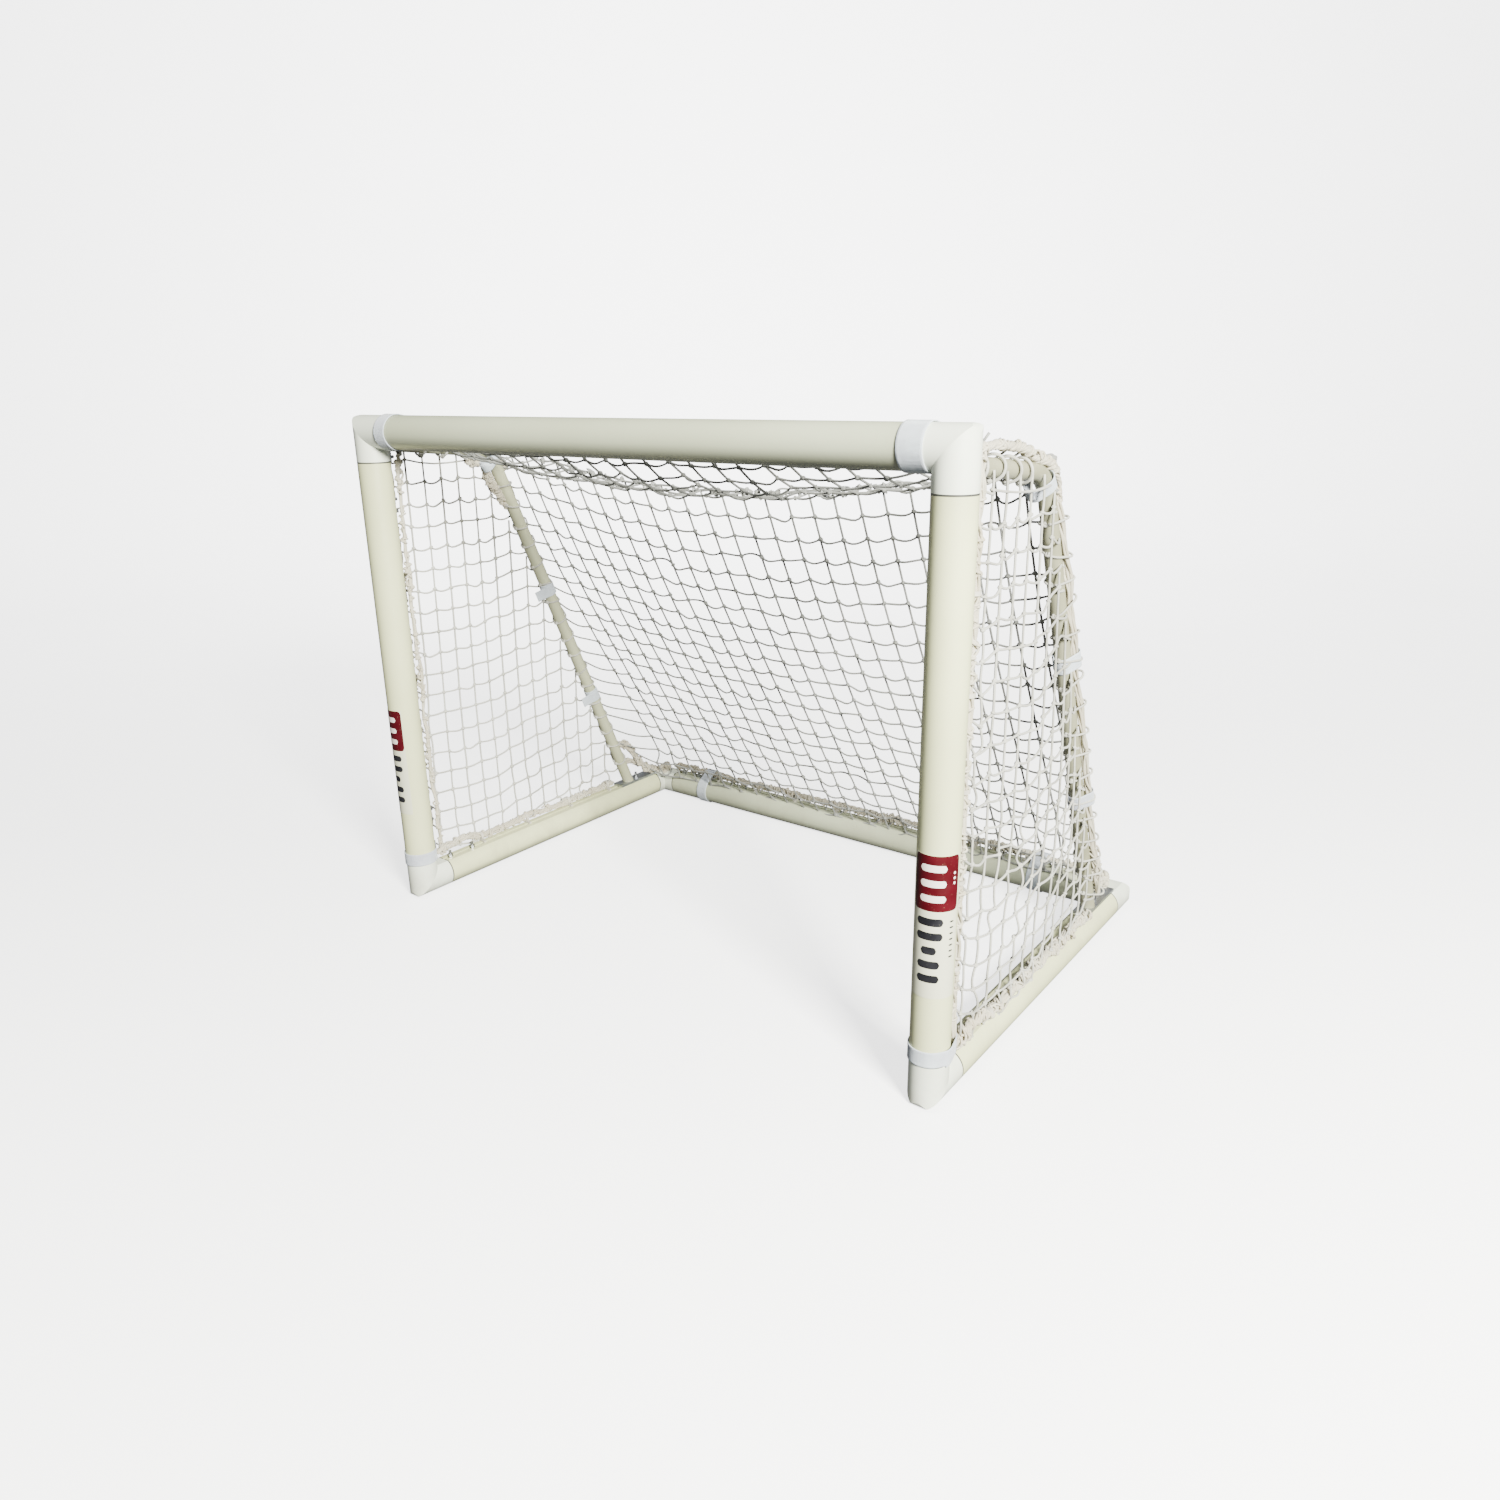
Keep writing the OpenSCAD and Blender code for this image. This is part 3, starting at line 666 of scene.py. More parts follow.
def coated(name, node=None, axis=0, colour=CREAM, deep=CREAM_DEEP):
    """Powder coat: orange peel, faint streaks, scuffs and grime near the floor and the seams, a painted
    shadow line in each seam gap, and painted shade on faces that point down.
    """
    s = Shader(name)
    cloud = s.noise(2.3, 4.0)
    speck = s.noise(260.0, 2.0)
    tint = s.mix(s.ramp(cloud, 0.35, 0.68), colour, deep)
    tint = s.mix(s.ramp(speck, 0.70, 0.80, 0.0, 0.35), tint, GRIME)
    height = s.add("ShaderNodeSeparateXYZ", {0: s.position}).outputs[2]
    smear = s.noise(9.0, 6.0, 0.65, distort=0.6)
    low = s.math("MULTIPLY", s.ramp(height, 0.16, 0.0), s.ramp(smear, 0.45, 0.75))
    tint = s.mix(s.math("MULTIPLY", low, 0.5), tint, GRIME)
    rough = s.ramp(s.noise(35.0, 5.0, 0.6), 0.3, 0.7, 0.27, 0.42)
    scuff = s.ramp(s.noise(1.0, 6.0, 0.7, s.scaled(55, 55, 55), 1.2), 0.64, 0.72)
    tint = s.mix(s.math("MULTIPLY", scuff, 0.18), tint, GRIME)
    rough = s.math("ADD", rough, s.math("MULTIPLY", scuff, 0.22))
    if node:
        line, near = seam_shade(s, node, axis)
        dust = s.math("MULTIPLY", near, s.ramp(smear, 0.35, 0.8))
        tint = s.mix(s.math("MULTIPLY", dust, 0.35), tint, GRIME)
        # Painted shadow: a thin dark line in the gap where the tube meets the next part.
        tint = s.mix(line, tint, SEAM_GAP_SHADE)
    # Painted shade: faces that point down are darkened, as if shaded from above.
    facing = s.add("ShaderNodeSeparateXYZ", {0: s.add("ShaderNodeNewGeometry").outputs["Normal"]}).outputs[2]
    tint = s.mix(s.ramp(facing, -0.15, -0.85, 0.0, 0.9), tint, UNDERSIDE_PAINTED_SHADE)
    peel = s.math("ADD", s.noise(520.0, 2.0), s.math("MULTIPLY", s.noise(90.0, 2.0), 1.4))
    s.bump(peel, 0.10, 0.0006)
    return s.set(Base_Color=tint, Roughness=rough, Coat_Weight=0.08, Coat_Roughness=0.25)


def moulded(name):
    """The elbows' plastic: whiter, a little softer to the light, with scratches."""
    s = Shader(name)
    tint = s.mix(s.ramp(s.noise(3.0, 4.0), 0.35, 0.7), ELBOW_WHITE, rgb(0.66, 0.69, 0.57))
    height = s.add("ShaderNodeSeparateXYZ", {0: s.position}).outputs[2]
    smear = s.noise(11.0, 6.0, 0.65, distort=0.5)
    low = s.math("MULTIPLY", s.ramp(height, 0.12, 0.0), s.ramp(smear, 0.4, 0.75))
    tint = s.mix(s.math("MULTIPLY", low, 0.55), tint, GRIME)
    scratch = s.noise(1.0, 5.0, 0.7, s.scaled(160, 25, 60), 0.8)
    rough = s.ramp(scratch, 0.35, 0.72, 0.34, 0.52)
    s.bump(s.math("ADD", s.noise(420.0, 2.0), scratch), 0.07, 0.0005)
    return s.set(Base_Color=tint, Roughness=rough, Coat_Weight=0.1, Coat_Roughness=0.3)


def metal(name, colour, rough_low, rough_high, grain):
    """Zinc or aluminium with grain along one way, spots and grime."""
    s = Shader(name)
    lines = s.noise(1.0, 4.0, 0.6, s.scaled(*grain))
    spots = s.noise(120.0, 4.0, 0.6)
    tint = s.mix(s.ramp(spots, 0.5, 0.75, 0.0, 0.6), colour, rgb(*(c * 0.45 for c in colour[:3])))
    rough = s.ramp(lines, 0.3, 0.7, rough_low, rough_high)
    s.bump(s.math("ADD", lines, s.math("MULTIPLY", spots, 0.5)), 0.12, 0.0003)
    return s.set(Base_Color=tint, Metallic=1.0, Roughness=rough)


def clip_plastic(name):
    s = Shader(name)
    tint = s.mix(s.ramp(s.noise(40.0, 4.0), 0.35, 0.7), rgb(0.52, 0.50, 0.42), rgb(0.36, 0.34, 0.28))
    s.bump(s.noise(700.0, 2.0), 0.15, 0.0003)
    return s.set(Base_Color=tint, Roughness=s.ramp(s.noise(60.0), 0.3, 0.7, 0.45, 0.65))


def twine(name, colour, dark, braid=0.0032):
    """Braided twine: two sets of plies that cross, painted shade in the grooves between them, and soiling in
    patches.
    """
    s = Shader(name)
    along, around = s.uv()
    turns = s.math("DIVIDE", along, braid)
    waves = []
    for sign in (1.0, -1.0):
        phase = s.math("ADD", turns, s.math("MULTIPLY", around, sign * 2.0))
        waves.append(s.math("ABSOLUTE", s.math("SINE", s.math("MULTIPLY", phase, math.pi))))
    ply = s.math("MAXIMUM", *waves)
    patch = s.noise(7.0, 5.0, 0.6)
    fine = s.noise(160.0, 3.0)
    tint = s.mix(s.ramp(patch, 0.42, 0.72), colour, dark)
    tint = s.mix(s.ramp(fine, 0.45, 0.75, 0.0, 0.4), tint, dark)
    # Painted shade: the grooves between the plies are darkened.
    tint = s.mix(s.ramp(ply, 0.25, 0.0, 0.0, 0.55), tint, rgb(*(c * 0.4 for c in dark[:3])))
    fuzz = s.noise(1500.0, 2.0)
    s.bump(s.math("ADD", ply, s.math("MULTIPLY", fuzz, 0.4)), 0.5, 0.0004)
    rough = s.ramp(fine, 0.3, 0.7, 0.6, 0.82)
    return s.set(Base_Color=tint, Roughness=rough, Sheen_Weight=0.25, Sheen_Roughness=0.5)


def webbing(name):
    """Hook-and-loop webbing: a ribbed weave with painted shade in its hollows, selvedges, a row of stitches
    near each edge, fuzz.
    """
    s = Shader(name)
    along, across = s.uv()
    edge = s.math("ABSOLUTE", across)
    rib = s.math("SINE", s.math("MULTIPLY", along, 2 * math.pi / 0.0016))
    cross = s.math("SINE", s.math("MULTIPLY", across, 2 * math.pi / 0.0013))
    weave = s.math("MULTIPLY", rib, cross)
    stitch_row = s.ramp(s.math("ABSOLUTE", s.math("SUBTRACT", edge, 0.80)), 0.018, 0.03, 1.0, 0.0)
    dash = s.ramp(s.math("SINE", s.math("MULTIPLY", along, 2 * math.pi / 0.004)), -0.1, 0.1)
    stitch = s.math("MULTIPLY", stitch_row, dash)
    tint = s.mix(s.ramp(s.noise(14.0, 5.0, 0.6), 0.38, 0.7), STRAP_WHITE, rgb(0.40, 0.415, 0.47))
    # Painted shade: the low spots of the weave are darkened.
    tint = s.mix(s.ramp(weave, -0.2, -1.0, 0.0, 0.3), tint, rgb(0.30, 0.31, 0.36))
    tint = s.mix(s.math("MULTIPLY", stitch, 0.6), tint, rgb(0.66, 0.68, 0.74))
    fuzz = s.noise(900.0, 3.0)
    height = s.math("ADD", s.math("MULTIPLY", weave, 0.5), s.math("MULTIPLY", stitch, 1.2))
    s.bump(s.math("ADD", height, s.math("MULTIPLY", fuzz, 0.6)), 0.55, 0.0005)
    return s.set(Base_Color=tint, Roughness=s.ramp(fuzz, 0.3, 0.7, 0.7, 0.9), Sheen_Weight=0.35)


def printed(name, colour, worn):
    """Printed film: glossy, with a fine grain and worn specks."""
    s = Shader(name)
    specks = s.ramp(s.noise(240.0, 4.0, 0.65), 0.66, 0.74)
    tint = s.mix(s.ramp(s.noise(30.0, 4.0), 0.4, 0.7, 0.0, 0.5), colour, worn)
    tint = s.mix(s.math("MULTIPLY", specks, 0.35), tint, CREAM_DEEP)
    s.bump(s.noise(500.0, 2.0), 0.05, 0.0003)
    rough = s.ramp(s.noise(50.0), 0.3, 0.7, 0.42, 0.58)
    return s.set(Base_Color=tint, Roughness=rough, Specular_IOR_Level=0.2)


def floor_paint(name):
    s = Shader(name)
    tint = s.mix(s.ramp(s.noise(1.2, 4.0), 0.3, 0.7), rgb(0.84, 0.84, 0.84), rgb(0.82, 0.82, 0.815))
    rough = s.ramp(s.noise(3.0), 0.3, 0.7, 0.75, 0.85)
    s.material.cycles.emission_sampling = "NONE"
    return s.set(Base_Color=tint, Roughness=rough, Emission_Color=rgb(1, 1, 1), Emission_Strength=2.5)


TWINE = twine("net_twine", rgb(0.42, 0.415, 0.36), rgb(0.26, 0.255, 0.21))
# Painted shade: the roof, the back and the seam band use this darker copy of the net's twine, as if in shade.
BACK_TWINE_PAINTED_SHADE = twine("back_net_twine_painted_shade", rgb(0.22, 0.225, 0.205), rgb(0.15, 0.15, 0.13))
HEM = twine("hem_twine", rgb(0.46, 0.43, 0.335), TWINE_TAN, 0.004)
WEBBING = webbing("strap_webbing")

# ---- Materials on the CAD nodes that stay ----


def assign(node, material):
    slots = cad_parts[node].material_slots
    if not slots:
        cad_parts[node].data.materials.append(material)
    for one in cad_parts[node].material_slots:
        one.link = "OBJECT"
        one.material = material


TUBE_AXES = {
    "crossbar": 0, "rear_bar": 0, "left_post": 2, "right_post": 2,
    "left_base_tube": 1, "right_base_tube": 1,
}


def dress_cad_nodes():
    for node, axis in TUBE_AXES.items():
        # Painted shade: the crossbar and the rear bar get the darker copy of the posts' coat.
        painted_shade_bar = axis == 0
        colour, deep = (BAR_CREAM_PAINTED_SHADE, BAR_DEEP_PAINTED_SHADE) if painted_shade_bar else (CREAM, CREAM_DEEP)
        assign(node, coated(f"coat_{node}", node, axis, colour, deep))
    elbow = moulded("elbow_plastic")
    # Painted shade: each stay gets its own darker copy of the coat, the right one much darker, as if in
    # shade.
    left_stay = coated("coat_left_stay", colour=rgb(0.46, 0.47, 0.31), deep=rgb(0.39, 0.395, 0.25))
    right_stay = coated("coat_right_stay", colour=rgb(0.29, 0.285, 0.185), deep=rgb(0.22, 0.215, 0.135))
    plate = metal("galvanised_plate", rgb(0.50, 0.52, 0.54), 0.34, 0.52, (30, 500, 500))
    steel = metal("zinc_steel", rgb(0.40, 0.41, 0.42), 0.28, 0.45, (400, 400, 60))
    film = coated("decal_film", colour=rgb(0.61, 0.615, 0.46), deep=rgb(0.56, 0.56, 0.41))
    clip = clip_plastic("clip_plastic")
    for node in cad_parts:
        if node.endswith("_elbow"):
            assign(node, elbow)
        elif node.endswith("_stay"):
            assign(node, left_stay if node.startswith("left") else right_stay)
        elif node.endswith(("_flange", "_plate")):
            assign(node, plate)
        elif node.endswith(("_studs", "_nuts", "_washers")):
            assign(node, steel)
        elif node.endswith("_clips"):
            assign(node, clip)
        elif node.endswith("_decal"):
            assign(node, film)


# ---- Pieces ----


def finish_piece(piece, slot, *nodes):
    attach(piece, "root")
    if nodes:
        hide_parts(*nodes)
    return piece


def hang(net, name, node, out, seed, push=None, slack=SLACK, material=TWINE):
    """Settles a net and makes its twine and its knots."""
    net.settle(seed, slack, push)
    cloth = finish_piece(net.twine(f"{name}_twine", material, seed), "net", node)
    knots = finish_piece(net.knots(f"{name}_knots", material, out, seed + 1), "net")


def make_nets():
    for name, side in SIDES.items():
        hang(side_net(side), f"{name}_side", f"{name}_side_net", X * side, 20 + side,
             blow(0.0, 0.55, side * 0.00002), SIDE_SLACK[side])
    hang(roof_net(), "roof", "roof_net", Z, 31, material=BACK_TWINE_PAINTED_SHADE)
    hang(back_net(), "back", "back_net", -Y, 41,
         material=BACK_TWINE_PAINTED_SHADE)


def hem_piece(name, node, path, radius, strands, turns, seed, loops=0, spread=0.014, **facts):
    build = Build()
    add_bundle(build, path, radius, strands, turns, seed)
    add_lashings(build, path, radius * 1.04, seed + 500)
    add_tangle(build, path, spread, loops, seed + 700, **facts)
    return finish_piece(build.piece(name, HEM), "hem", *([node] if node else []))


def lumpy(t):
    return 0.72 + 0.28 * np.sin(37 * t) * np.sin(11 * t + 1)


def straight(a, b):
    return np.array([a, b], float)


def make_hems():
    bar_y, bar_z = FRONT_Y + HEM_LIFT, BAR_Z + HEM_SIDE
    end_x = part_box("crossbar_hem")[1].x
    hem_piece("crossbar_gathered_hem", "crossbar_hem",
              straight((-end_x, bar_y, bar_z), (end_x, bar_y, bar_z)), HEM_R, 6, 5.0, 1, 60)
    rear_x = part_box("rear_bar_hem")[1].x
    rear = (REAR_Y + HEM_SIDE, HEM_BASE_Z)
    hem_piece("rear_gathered_hem", "rear_bar_hem",
              straight((-rear_x, *rear), (rear_x, *rear)), HEM_R, 6, 9.0, 2, 150, 0.017, bulk=lumpy)
    for name, side in SIDES.items():
        x = side * (POST_X + HEM_SIDE)
        base_low, base_high = (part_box(f"{name}_base_hem")[k].y for k in (0, 1))
        post = smooth_path([
            (x, bar_y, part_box(f"{name}_post_hem")[0].z), (x, bar_y, 0.45), (x, bar_y + 0.001, 0.8),
            (x, bar_y, 1.16), (side * (POST_X + 0.016), bar_y + 0.003, BAR_Z - 0.008),
        ])
        hem_piece(f"{name}_post_gathered_hem", f"{name}_post_hem", post, HEM_R, 6, 4.0, 5 + side, 70)
        base = smooth_path([
            (x, base_low, HEM_BASE_Z + 0.004), (x, base_low + 0.05, HEM_BASE_Z + 0.013),
            (x, base_low + 0.11, HEM_BASE_Z + 0.017), (x, base_low + 0.15, HEM_BASE_Z + 0.004),
            (x, base_low + 0.22, HEM_BASE_Z - 0.001), (x, base_low + 0.36, HEM_BASE_Z + 0.003),
            (x, base_low + 0.50, HEM_BASE_Z - 0.001), (x, base_high, HEM_BASE_Z),
        ])
        hem_piece(f"{name}_base_gathered_hem", f"{name}_base_hem", base, HEM_R * 0.95, 6, 8.0, 8 + side,
                  110 if side > 0 else 60, 0.019 if side > 0 else 0.015, bulk=lumpy)
        make_roof_hem(name, side)
        make_stay_hem(name, side)


def make_roof_hem(name, side):
    """Arches over the stay's top run, from the elbow to the bend."""
    x = side * (POST_X + 0.009)
    path = smooth_path([
        (side * (POST_X + 0.006), FRONT_Y + 0.064, BAR_Z - 0.006), (x, -0.400, BAR_Z - 0.003),
        (x, -0.330, BAR_Z - 0.004), (x, -0.265, BAR_Z - 0.014),
        *((x, STAY_BEND[0] + y, STAY_BEND[1] + z)
          for y, z in ((-0.064, 0.034), (0.001, 0.017), (0.038, -0.014), (0.060, -0.056))),
    ])
    hem_piece(f"{name}_roof_gathered_hem", f"{name}_roof_hem", path, HEM_R * 0.9, 7, 14.0, 12 + side,
              24, 0.011)


def make_stay_hem(name, side):
    """Down the stay's leg, and on from the stay to the rear corner."""
    top = STAY_BEND[1] - 0.055
    down = [stay_hem_at(side, z) for z in np.linspace(top, LEAVE_Z, 14)]
    build = Build()
    add_bundle(build, smooth_path(down), 0.0085, 7, 1.6, 15 + side, loose=0.003)
    add_bundle(build, corner_rope(side), 0.0085, 5, 7.0, 18 + side)
    foot = [stay_hem_at(side, z) for z in (LEAVE_Z + 0.03, LEAVE_Z - 0.03, STAY_FOOT[1] + 0.045)]
    add_bundle(build, smooth_path(foot), 0.010, 5, 2.0, 21 + side)
    y, z = stay_hem_at(side, 0.15)[1:]
    second = [(side * 0.812, y - 0.01, z + 0.012), (side * 0.806, y + 0.045, z - 0.012),
              (side * 0.795, y + 0.10, z - 0.035), (side * 0.780, y + 0.145, z - 0.062),
              CORNER * (side, 1, 1)]
    add_bundle(build, smooth_path(second), 0.006, 4, 9.0, 24 + side)
    add_tangle(build, corner_rope(side), 0.017, 60, 27 + side, 0.06, lumpy)
    add_tangle(build, smooth_path(second), 0.012, 30, 33 + side)
    rng = np.random.default_rng(30 + side)
    for _ in range(9):
        spot = CORNER * (side, 1, 1) + rng.normal(0, 0.0055, 3)
        add_knot(build, spot, unit(rng.normal(0, 1, 3)), unit(rng.normal(0, 1, 3)), rng, 2.2)
    piece = finish_piece(build.piece(f"{name}_stay_gathered_hem", HEM), "hem", f"{name}_stay_hem")
    make_stay_lashings(name, side)
    return piece


def loop_round(circles, gap, count=28):
    """The outline round two circles, as points in their plane."""
    points = []
    for centre, r in circles:
        a = np.linspace(0, 2 * math.pi, 96, endpoint=False)
        points.append(np.asarray(centre) + (r + gap) * np.stack([np.cos(a), np.sin(a)], 1))
    p = np.concatenate(points)
    p = p[np.lexsort((p[:, 1], p[:, 0]))]

    def chain(seq):
        out = []
        for q in seq:
            while len(out) > 1 and np.cross(out[-1] - out[-2], q - out[-2]) <= 0:
                out.pop()
            out.append(q)
        return out[:-1]

    hull = np.array(chain(p) + chain(p[::-1]))
    ring = np.concatenate([hull, hull[:1]])
    along = np.concatenate([[0], np.cumsum(np.linalg.norm(np.diff(ring, axis=0), axis=1))])
    at = np.linspace(0, along[-1], count, endpoint=False)
    return np.stack([np.interp(at, along, ring[:, k]) for k in range(2)], 1)


def stay_place(side, z):
    """The point of the stay's leg axis at a height, with its outward, back and down directions."""
    origin = np.array([side * POST_X, leg_y(z), z])
    return origin, X * side, np.array([0, *LEG_BACK]), np.array([0, *LEG_DIR])


def make_stay_lashings(name, side):
    """Twine looped round the stay, with its hem, at each row of the side net."""
    rng = np.random.default_rng(60 + side)
    build = Build()
    z = STAY_BEND[1] - 0.095
    while z > STAY_FOOT[1] + 0.05:
        origin, out, back, down = stay_place(side, z)
        hem = stay_hem_at(side, z) - origin
        circles = [((0, 0), STAY_R), ((hem @ out, hem @ back), 0.0115)]
        loop = loop_round(circles, TWINE_R * 1.1, 26)
        lean = rng.uniform(-0.35, 0.35, 2)
        path = origin + loop[:, :1] * out + loop[:, 1:] * back
        path = path + (loop @ lean)[:, None] * down
        add_tube(build, path, TWINE_R, 6, closed=True)
        k = int(np.argmin(loop[:, 1]))
        add_knot(build, path[k], -back, down, rng, 1.1)
        z -= MESH * 0.94 * rng.uniform(0.9, 1.1)
    y = STAY_START[0] + 0.035
    while y < STAY_BEND[0] - 0.075:
        centre = np.array([side * POST_X, y, STAY_START[1] + (y - STAY_START[0]) * math.tan(RUN_ANGLE)])
        turn = np.linspace(0, 2 * math.pi, 23)[:-1]
        r = STAY_R + 2.2 * TWINE_R
        lean = rng.uniform(-0.3, 0.3, 2)
        ring = r * (np.cos(turn)[:, None] * X * side + np.sin(turn)[:, None] * Z)
        tip = (r * (lean[0] * np.cos(turn) + lean[1] * np.sin(turn)))[:, None] * Y
        add_tube(build, centre + ring + tip, TWINE_R * 1.2, 6, closed=True)
        add_knot(build, centre + ring[16] + tip[16], -Z, Y, rng, 1.2)
        y += MESH * rng.uniform(0.9, 1.15)
    finish_piece(build.piece(f"{name}_stay_lashings", TWINE), "net")


def early(t):
    return np.sqrt(np.sin(math.pi * np.clip(t, 0.03, 0.97) ** 0.7))


def make_bulge(name, side):
    """Spare net knotted under the bend, in front of the stay."""
    steps = ((1.138, 0.034), (1.116, 0.038), (1.094, 0.036), (1.070, 0.031), (1.046, 0.025), (1.020, 0.019))
    path = smooth_path([(side * (POST_X + 0.004), leg_y(z) - ahead, z) for z, ahead in steps])
    build = Build()
    add_bundle(build, path, 0.007, 6, 14.0, 70 + side, loose=0.003)
    add_tangle(build, path, 0.015, 44, 73 + side, 0.06, early)
    folds = ((0.006, -0.075, -0.016), (0.010, -0.055, -0.026), (0.006, -0.035, -0.032))
    crumple = smooth_path([(side * (POST_X + x), STAY_BEND[0] + y, STAY_BEND[1] + z) for x, y, z in folds])
    add_tangle(build, crumple, 0.013, 26, 76 + side, 0.04)
    finish_piece(build.piece(f"{name}_bend_gather", HEM), "hem")


def make_post_edge():
    """The edge of the left side net, which has slipped to the inside of its post."""
    spots = ((-0.766, 1.185), (-0.764, 1.13), (-0.768, 1.05), (-0.772, 0.95), (-0.773, 0.80), (-0.771, 0.662),
             (-0.769, 0.552), (-0.772, 0.411), (-0.769, 0.297), (-0.764, 0.215), (-0.762, 0.137))
    path = smooth_path([(x, FRONT_Y + 0.050, z) for x, z in spots])
    build = Build()
    add_bundle(build, path, 0.0052, 4, 6.0, 90, loose=0.004)
    add_lashings(build, path, 0.0066, 91)
    add_tangle(build, path, 0.010, 50, 92, 0.05, lumpy)
    finish_piece(build.piece("left_post_loose_edge", HEM), "hem")


def make_seam():
    """The seam of roof and back: a loose twisted band that sags between the stays."""
    x = np.linspace(-PANEL_X, PANEL_X, 40)
    path = np.stack([x, np.full(40, SEAM_Y), seam_z(x)], axis=1)
    ends = []
    for side in (-1, 1):
        ends.append([(side * (POST_X + 0.006), SEAM_Y + 0.012, SEAM_HIGH + 0.010)])
    path = smooth_path(np.concatenate([ends[0], path, ends[1]]))
    build = Build()
    add_bundle(build, path, 0.0034, 3, 9.0, 80, strand_r=0.0018, loose=0.006)
    add_lashings(build, path, 0.0056, 81)
    add_tangle(build, path, 0.012, 34, 82, 0.08, np.ones_like)
    finish_piece(build.piece("roof_seam_twist", BACK_TWINE_PAINTED_SHADE), "hem", "roof_seam_rope")


# ---- Straps ----


def band(name, outline, origin, across, up, width, thick=0.0019, overlap=0.05, skew=0.006, turn=0,
         flap=0.0):
    """A strap wound round an outline, its end lying on its start. A flap stands off at its end."""
    outline = np.roll(outline, turn, axis=0)
    ring = np.concatenate([outline, outline, outline])
    along = np.concatenate([[0], np.cumsum(np.linalg.norm(np.diff(ring, axis=0), axis=1))])
    once = along[len(outline)]
    at = np.arange(0, once + overlap + flap, 0.003)
    held = np.minimum(at, once + overlap)
    line = np.stack([np.interp(held + once, along, ring[:, k]) for k in range(2)], 1)
    last = int(np.searchsorted(at, once + overlap)) - 1
    way = unit(line[last] - line[last - 1])
    free = np.maximum(at - once - overlap, 0)[:, None]
    line = line + free * way + 3 * free**2 * np.array([way[1], -way[0]])
    flow = unit(np.gradient(line, axis=0))
    out = np.stack([flow[:, 1], -flow[:, 0]], 1)
    lift = np.clip((at - once + 0.012) / 0.012, 0, 1)
    lift = lift * lift * (3 - 2 * lift) * thick * 1.15
    rng = np.random.default_rng(len(name))
    lift = lift + 0.0005 * (1 + wander(rng, len(at), 0.003, 0.04))
    line = line + out * lift[:, None]
    axis = np.cross(across, up)
    slide = skew * (at / at[-1] - 0.5)
    w, h = width / 2, thick / 2
    profile = [(-w, -h * 0.3), (-w + h, -h)]
    profile += [(k * w, -h) for k in (-0.8, -0.4, 0.0, 0.4, 0.8)]
    profile += [(w - h, -h), (w, -h * 0.3), (w, h * 0.5), (w - h * 0.6, h * 1.25)]
    profile += [(k * w, h * (1.1 if abs(k) > 0.7 else 1)) for k in (0.8, 0.4, 0.0, -0.4, -0.8)]
    profile += [(-w + h * 0.6, h * 1.25), (-w, h * 0.5)]
    profile = np.array(profile)
    n, m = len(at), len(profile)
    flat = line[:, None] + out[:, None] * (profile[None, :, 1:] + h)
    side = profile[None, :, 0] + slide[:, None]
    points = origin + flat[..., :1] * across + flat[..., 1:] * up + side[..., None] * axis
    points[..., 2] = np.maximum(points[..., 2], FLOOR_GAP)
    faces = ring_faces(n, m)
    i, k = np.divmod(np.arange((n - 1) * m), m)
    u = profile[:, 0] / w
    uv = np.stack(
        [np.stack([at[i], u[k]], 1), np.stack([at[i], u[(k + 1) % m]], 1),
         np.stack([at[i + 1], u[(k + 1) % m]], 1), np.stack([at[i + 1], u[k]], 1)], axis=1,
    ).reshape(-1, 2)
    build = Build()
    ends = np.tile(np.stack([np.zeros(m), u], 1), (2, 1))
    caps = [np.arange(m)[::-1], np.arange(m) + (n - 1) * m]
    build.add(points.reshape(-1, 3), list(faces) + caps, [uv, ends])
    piece = build.piece(name, WEBBING)
    finish_piece(piece, "strap")
    return piece


def tube_band(name, node, centre, across, up, width, seed_turn, **facts):
    """A strap round a frame tube and the hem beside it."""
    circles = [((0, 0), TUBE_R), ((HEM_SIDE, HEM_LIFT), HEM_R * 1.05)]
    outline = loop_round(circles, 0.0004, 120)
    piece = band(name, outline, centre, across, up, width, turn=seed_turn, **facts)
    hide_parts(node)


def make_straps():
    for name, side in SIDES.items():
        node = f"{name}_crossbar_strap"
        centre = np.array([middle(node, 0), FRONT_Y, BAR_Z])
        tube_band(f"{name}_crossbar_band", node, centre, Z, Y, 2 * half(node, 0), 30, skew=0.004 * side)
        node = f"{name}_post_strap"
        centre = np.array([side * POST_X, FRONT_Y, middle(node, 2)])
        tube_band(f"{name}_post_band", node, centre, X * side, Y, 2 * half(node, 2), 70, skew=0.007)
        node = f"{name}_rear_strap"
        centre = np.array([middle(node, 0), REAR_Y, BASE_Z])
        tube_band(f"{name}_rear_band", node, centre, Y, Z, 2 * half(node, 0), 50, skew=0.004, overlap=0.03)
        make_stay_straps(name, side)


FLOOR_GAP = 0.0003
STAY_BAND_Z = (0.775, 0.417)
STAY_BAND_W = 0.038


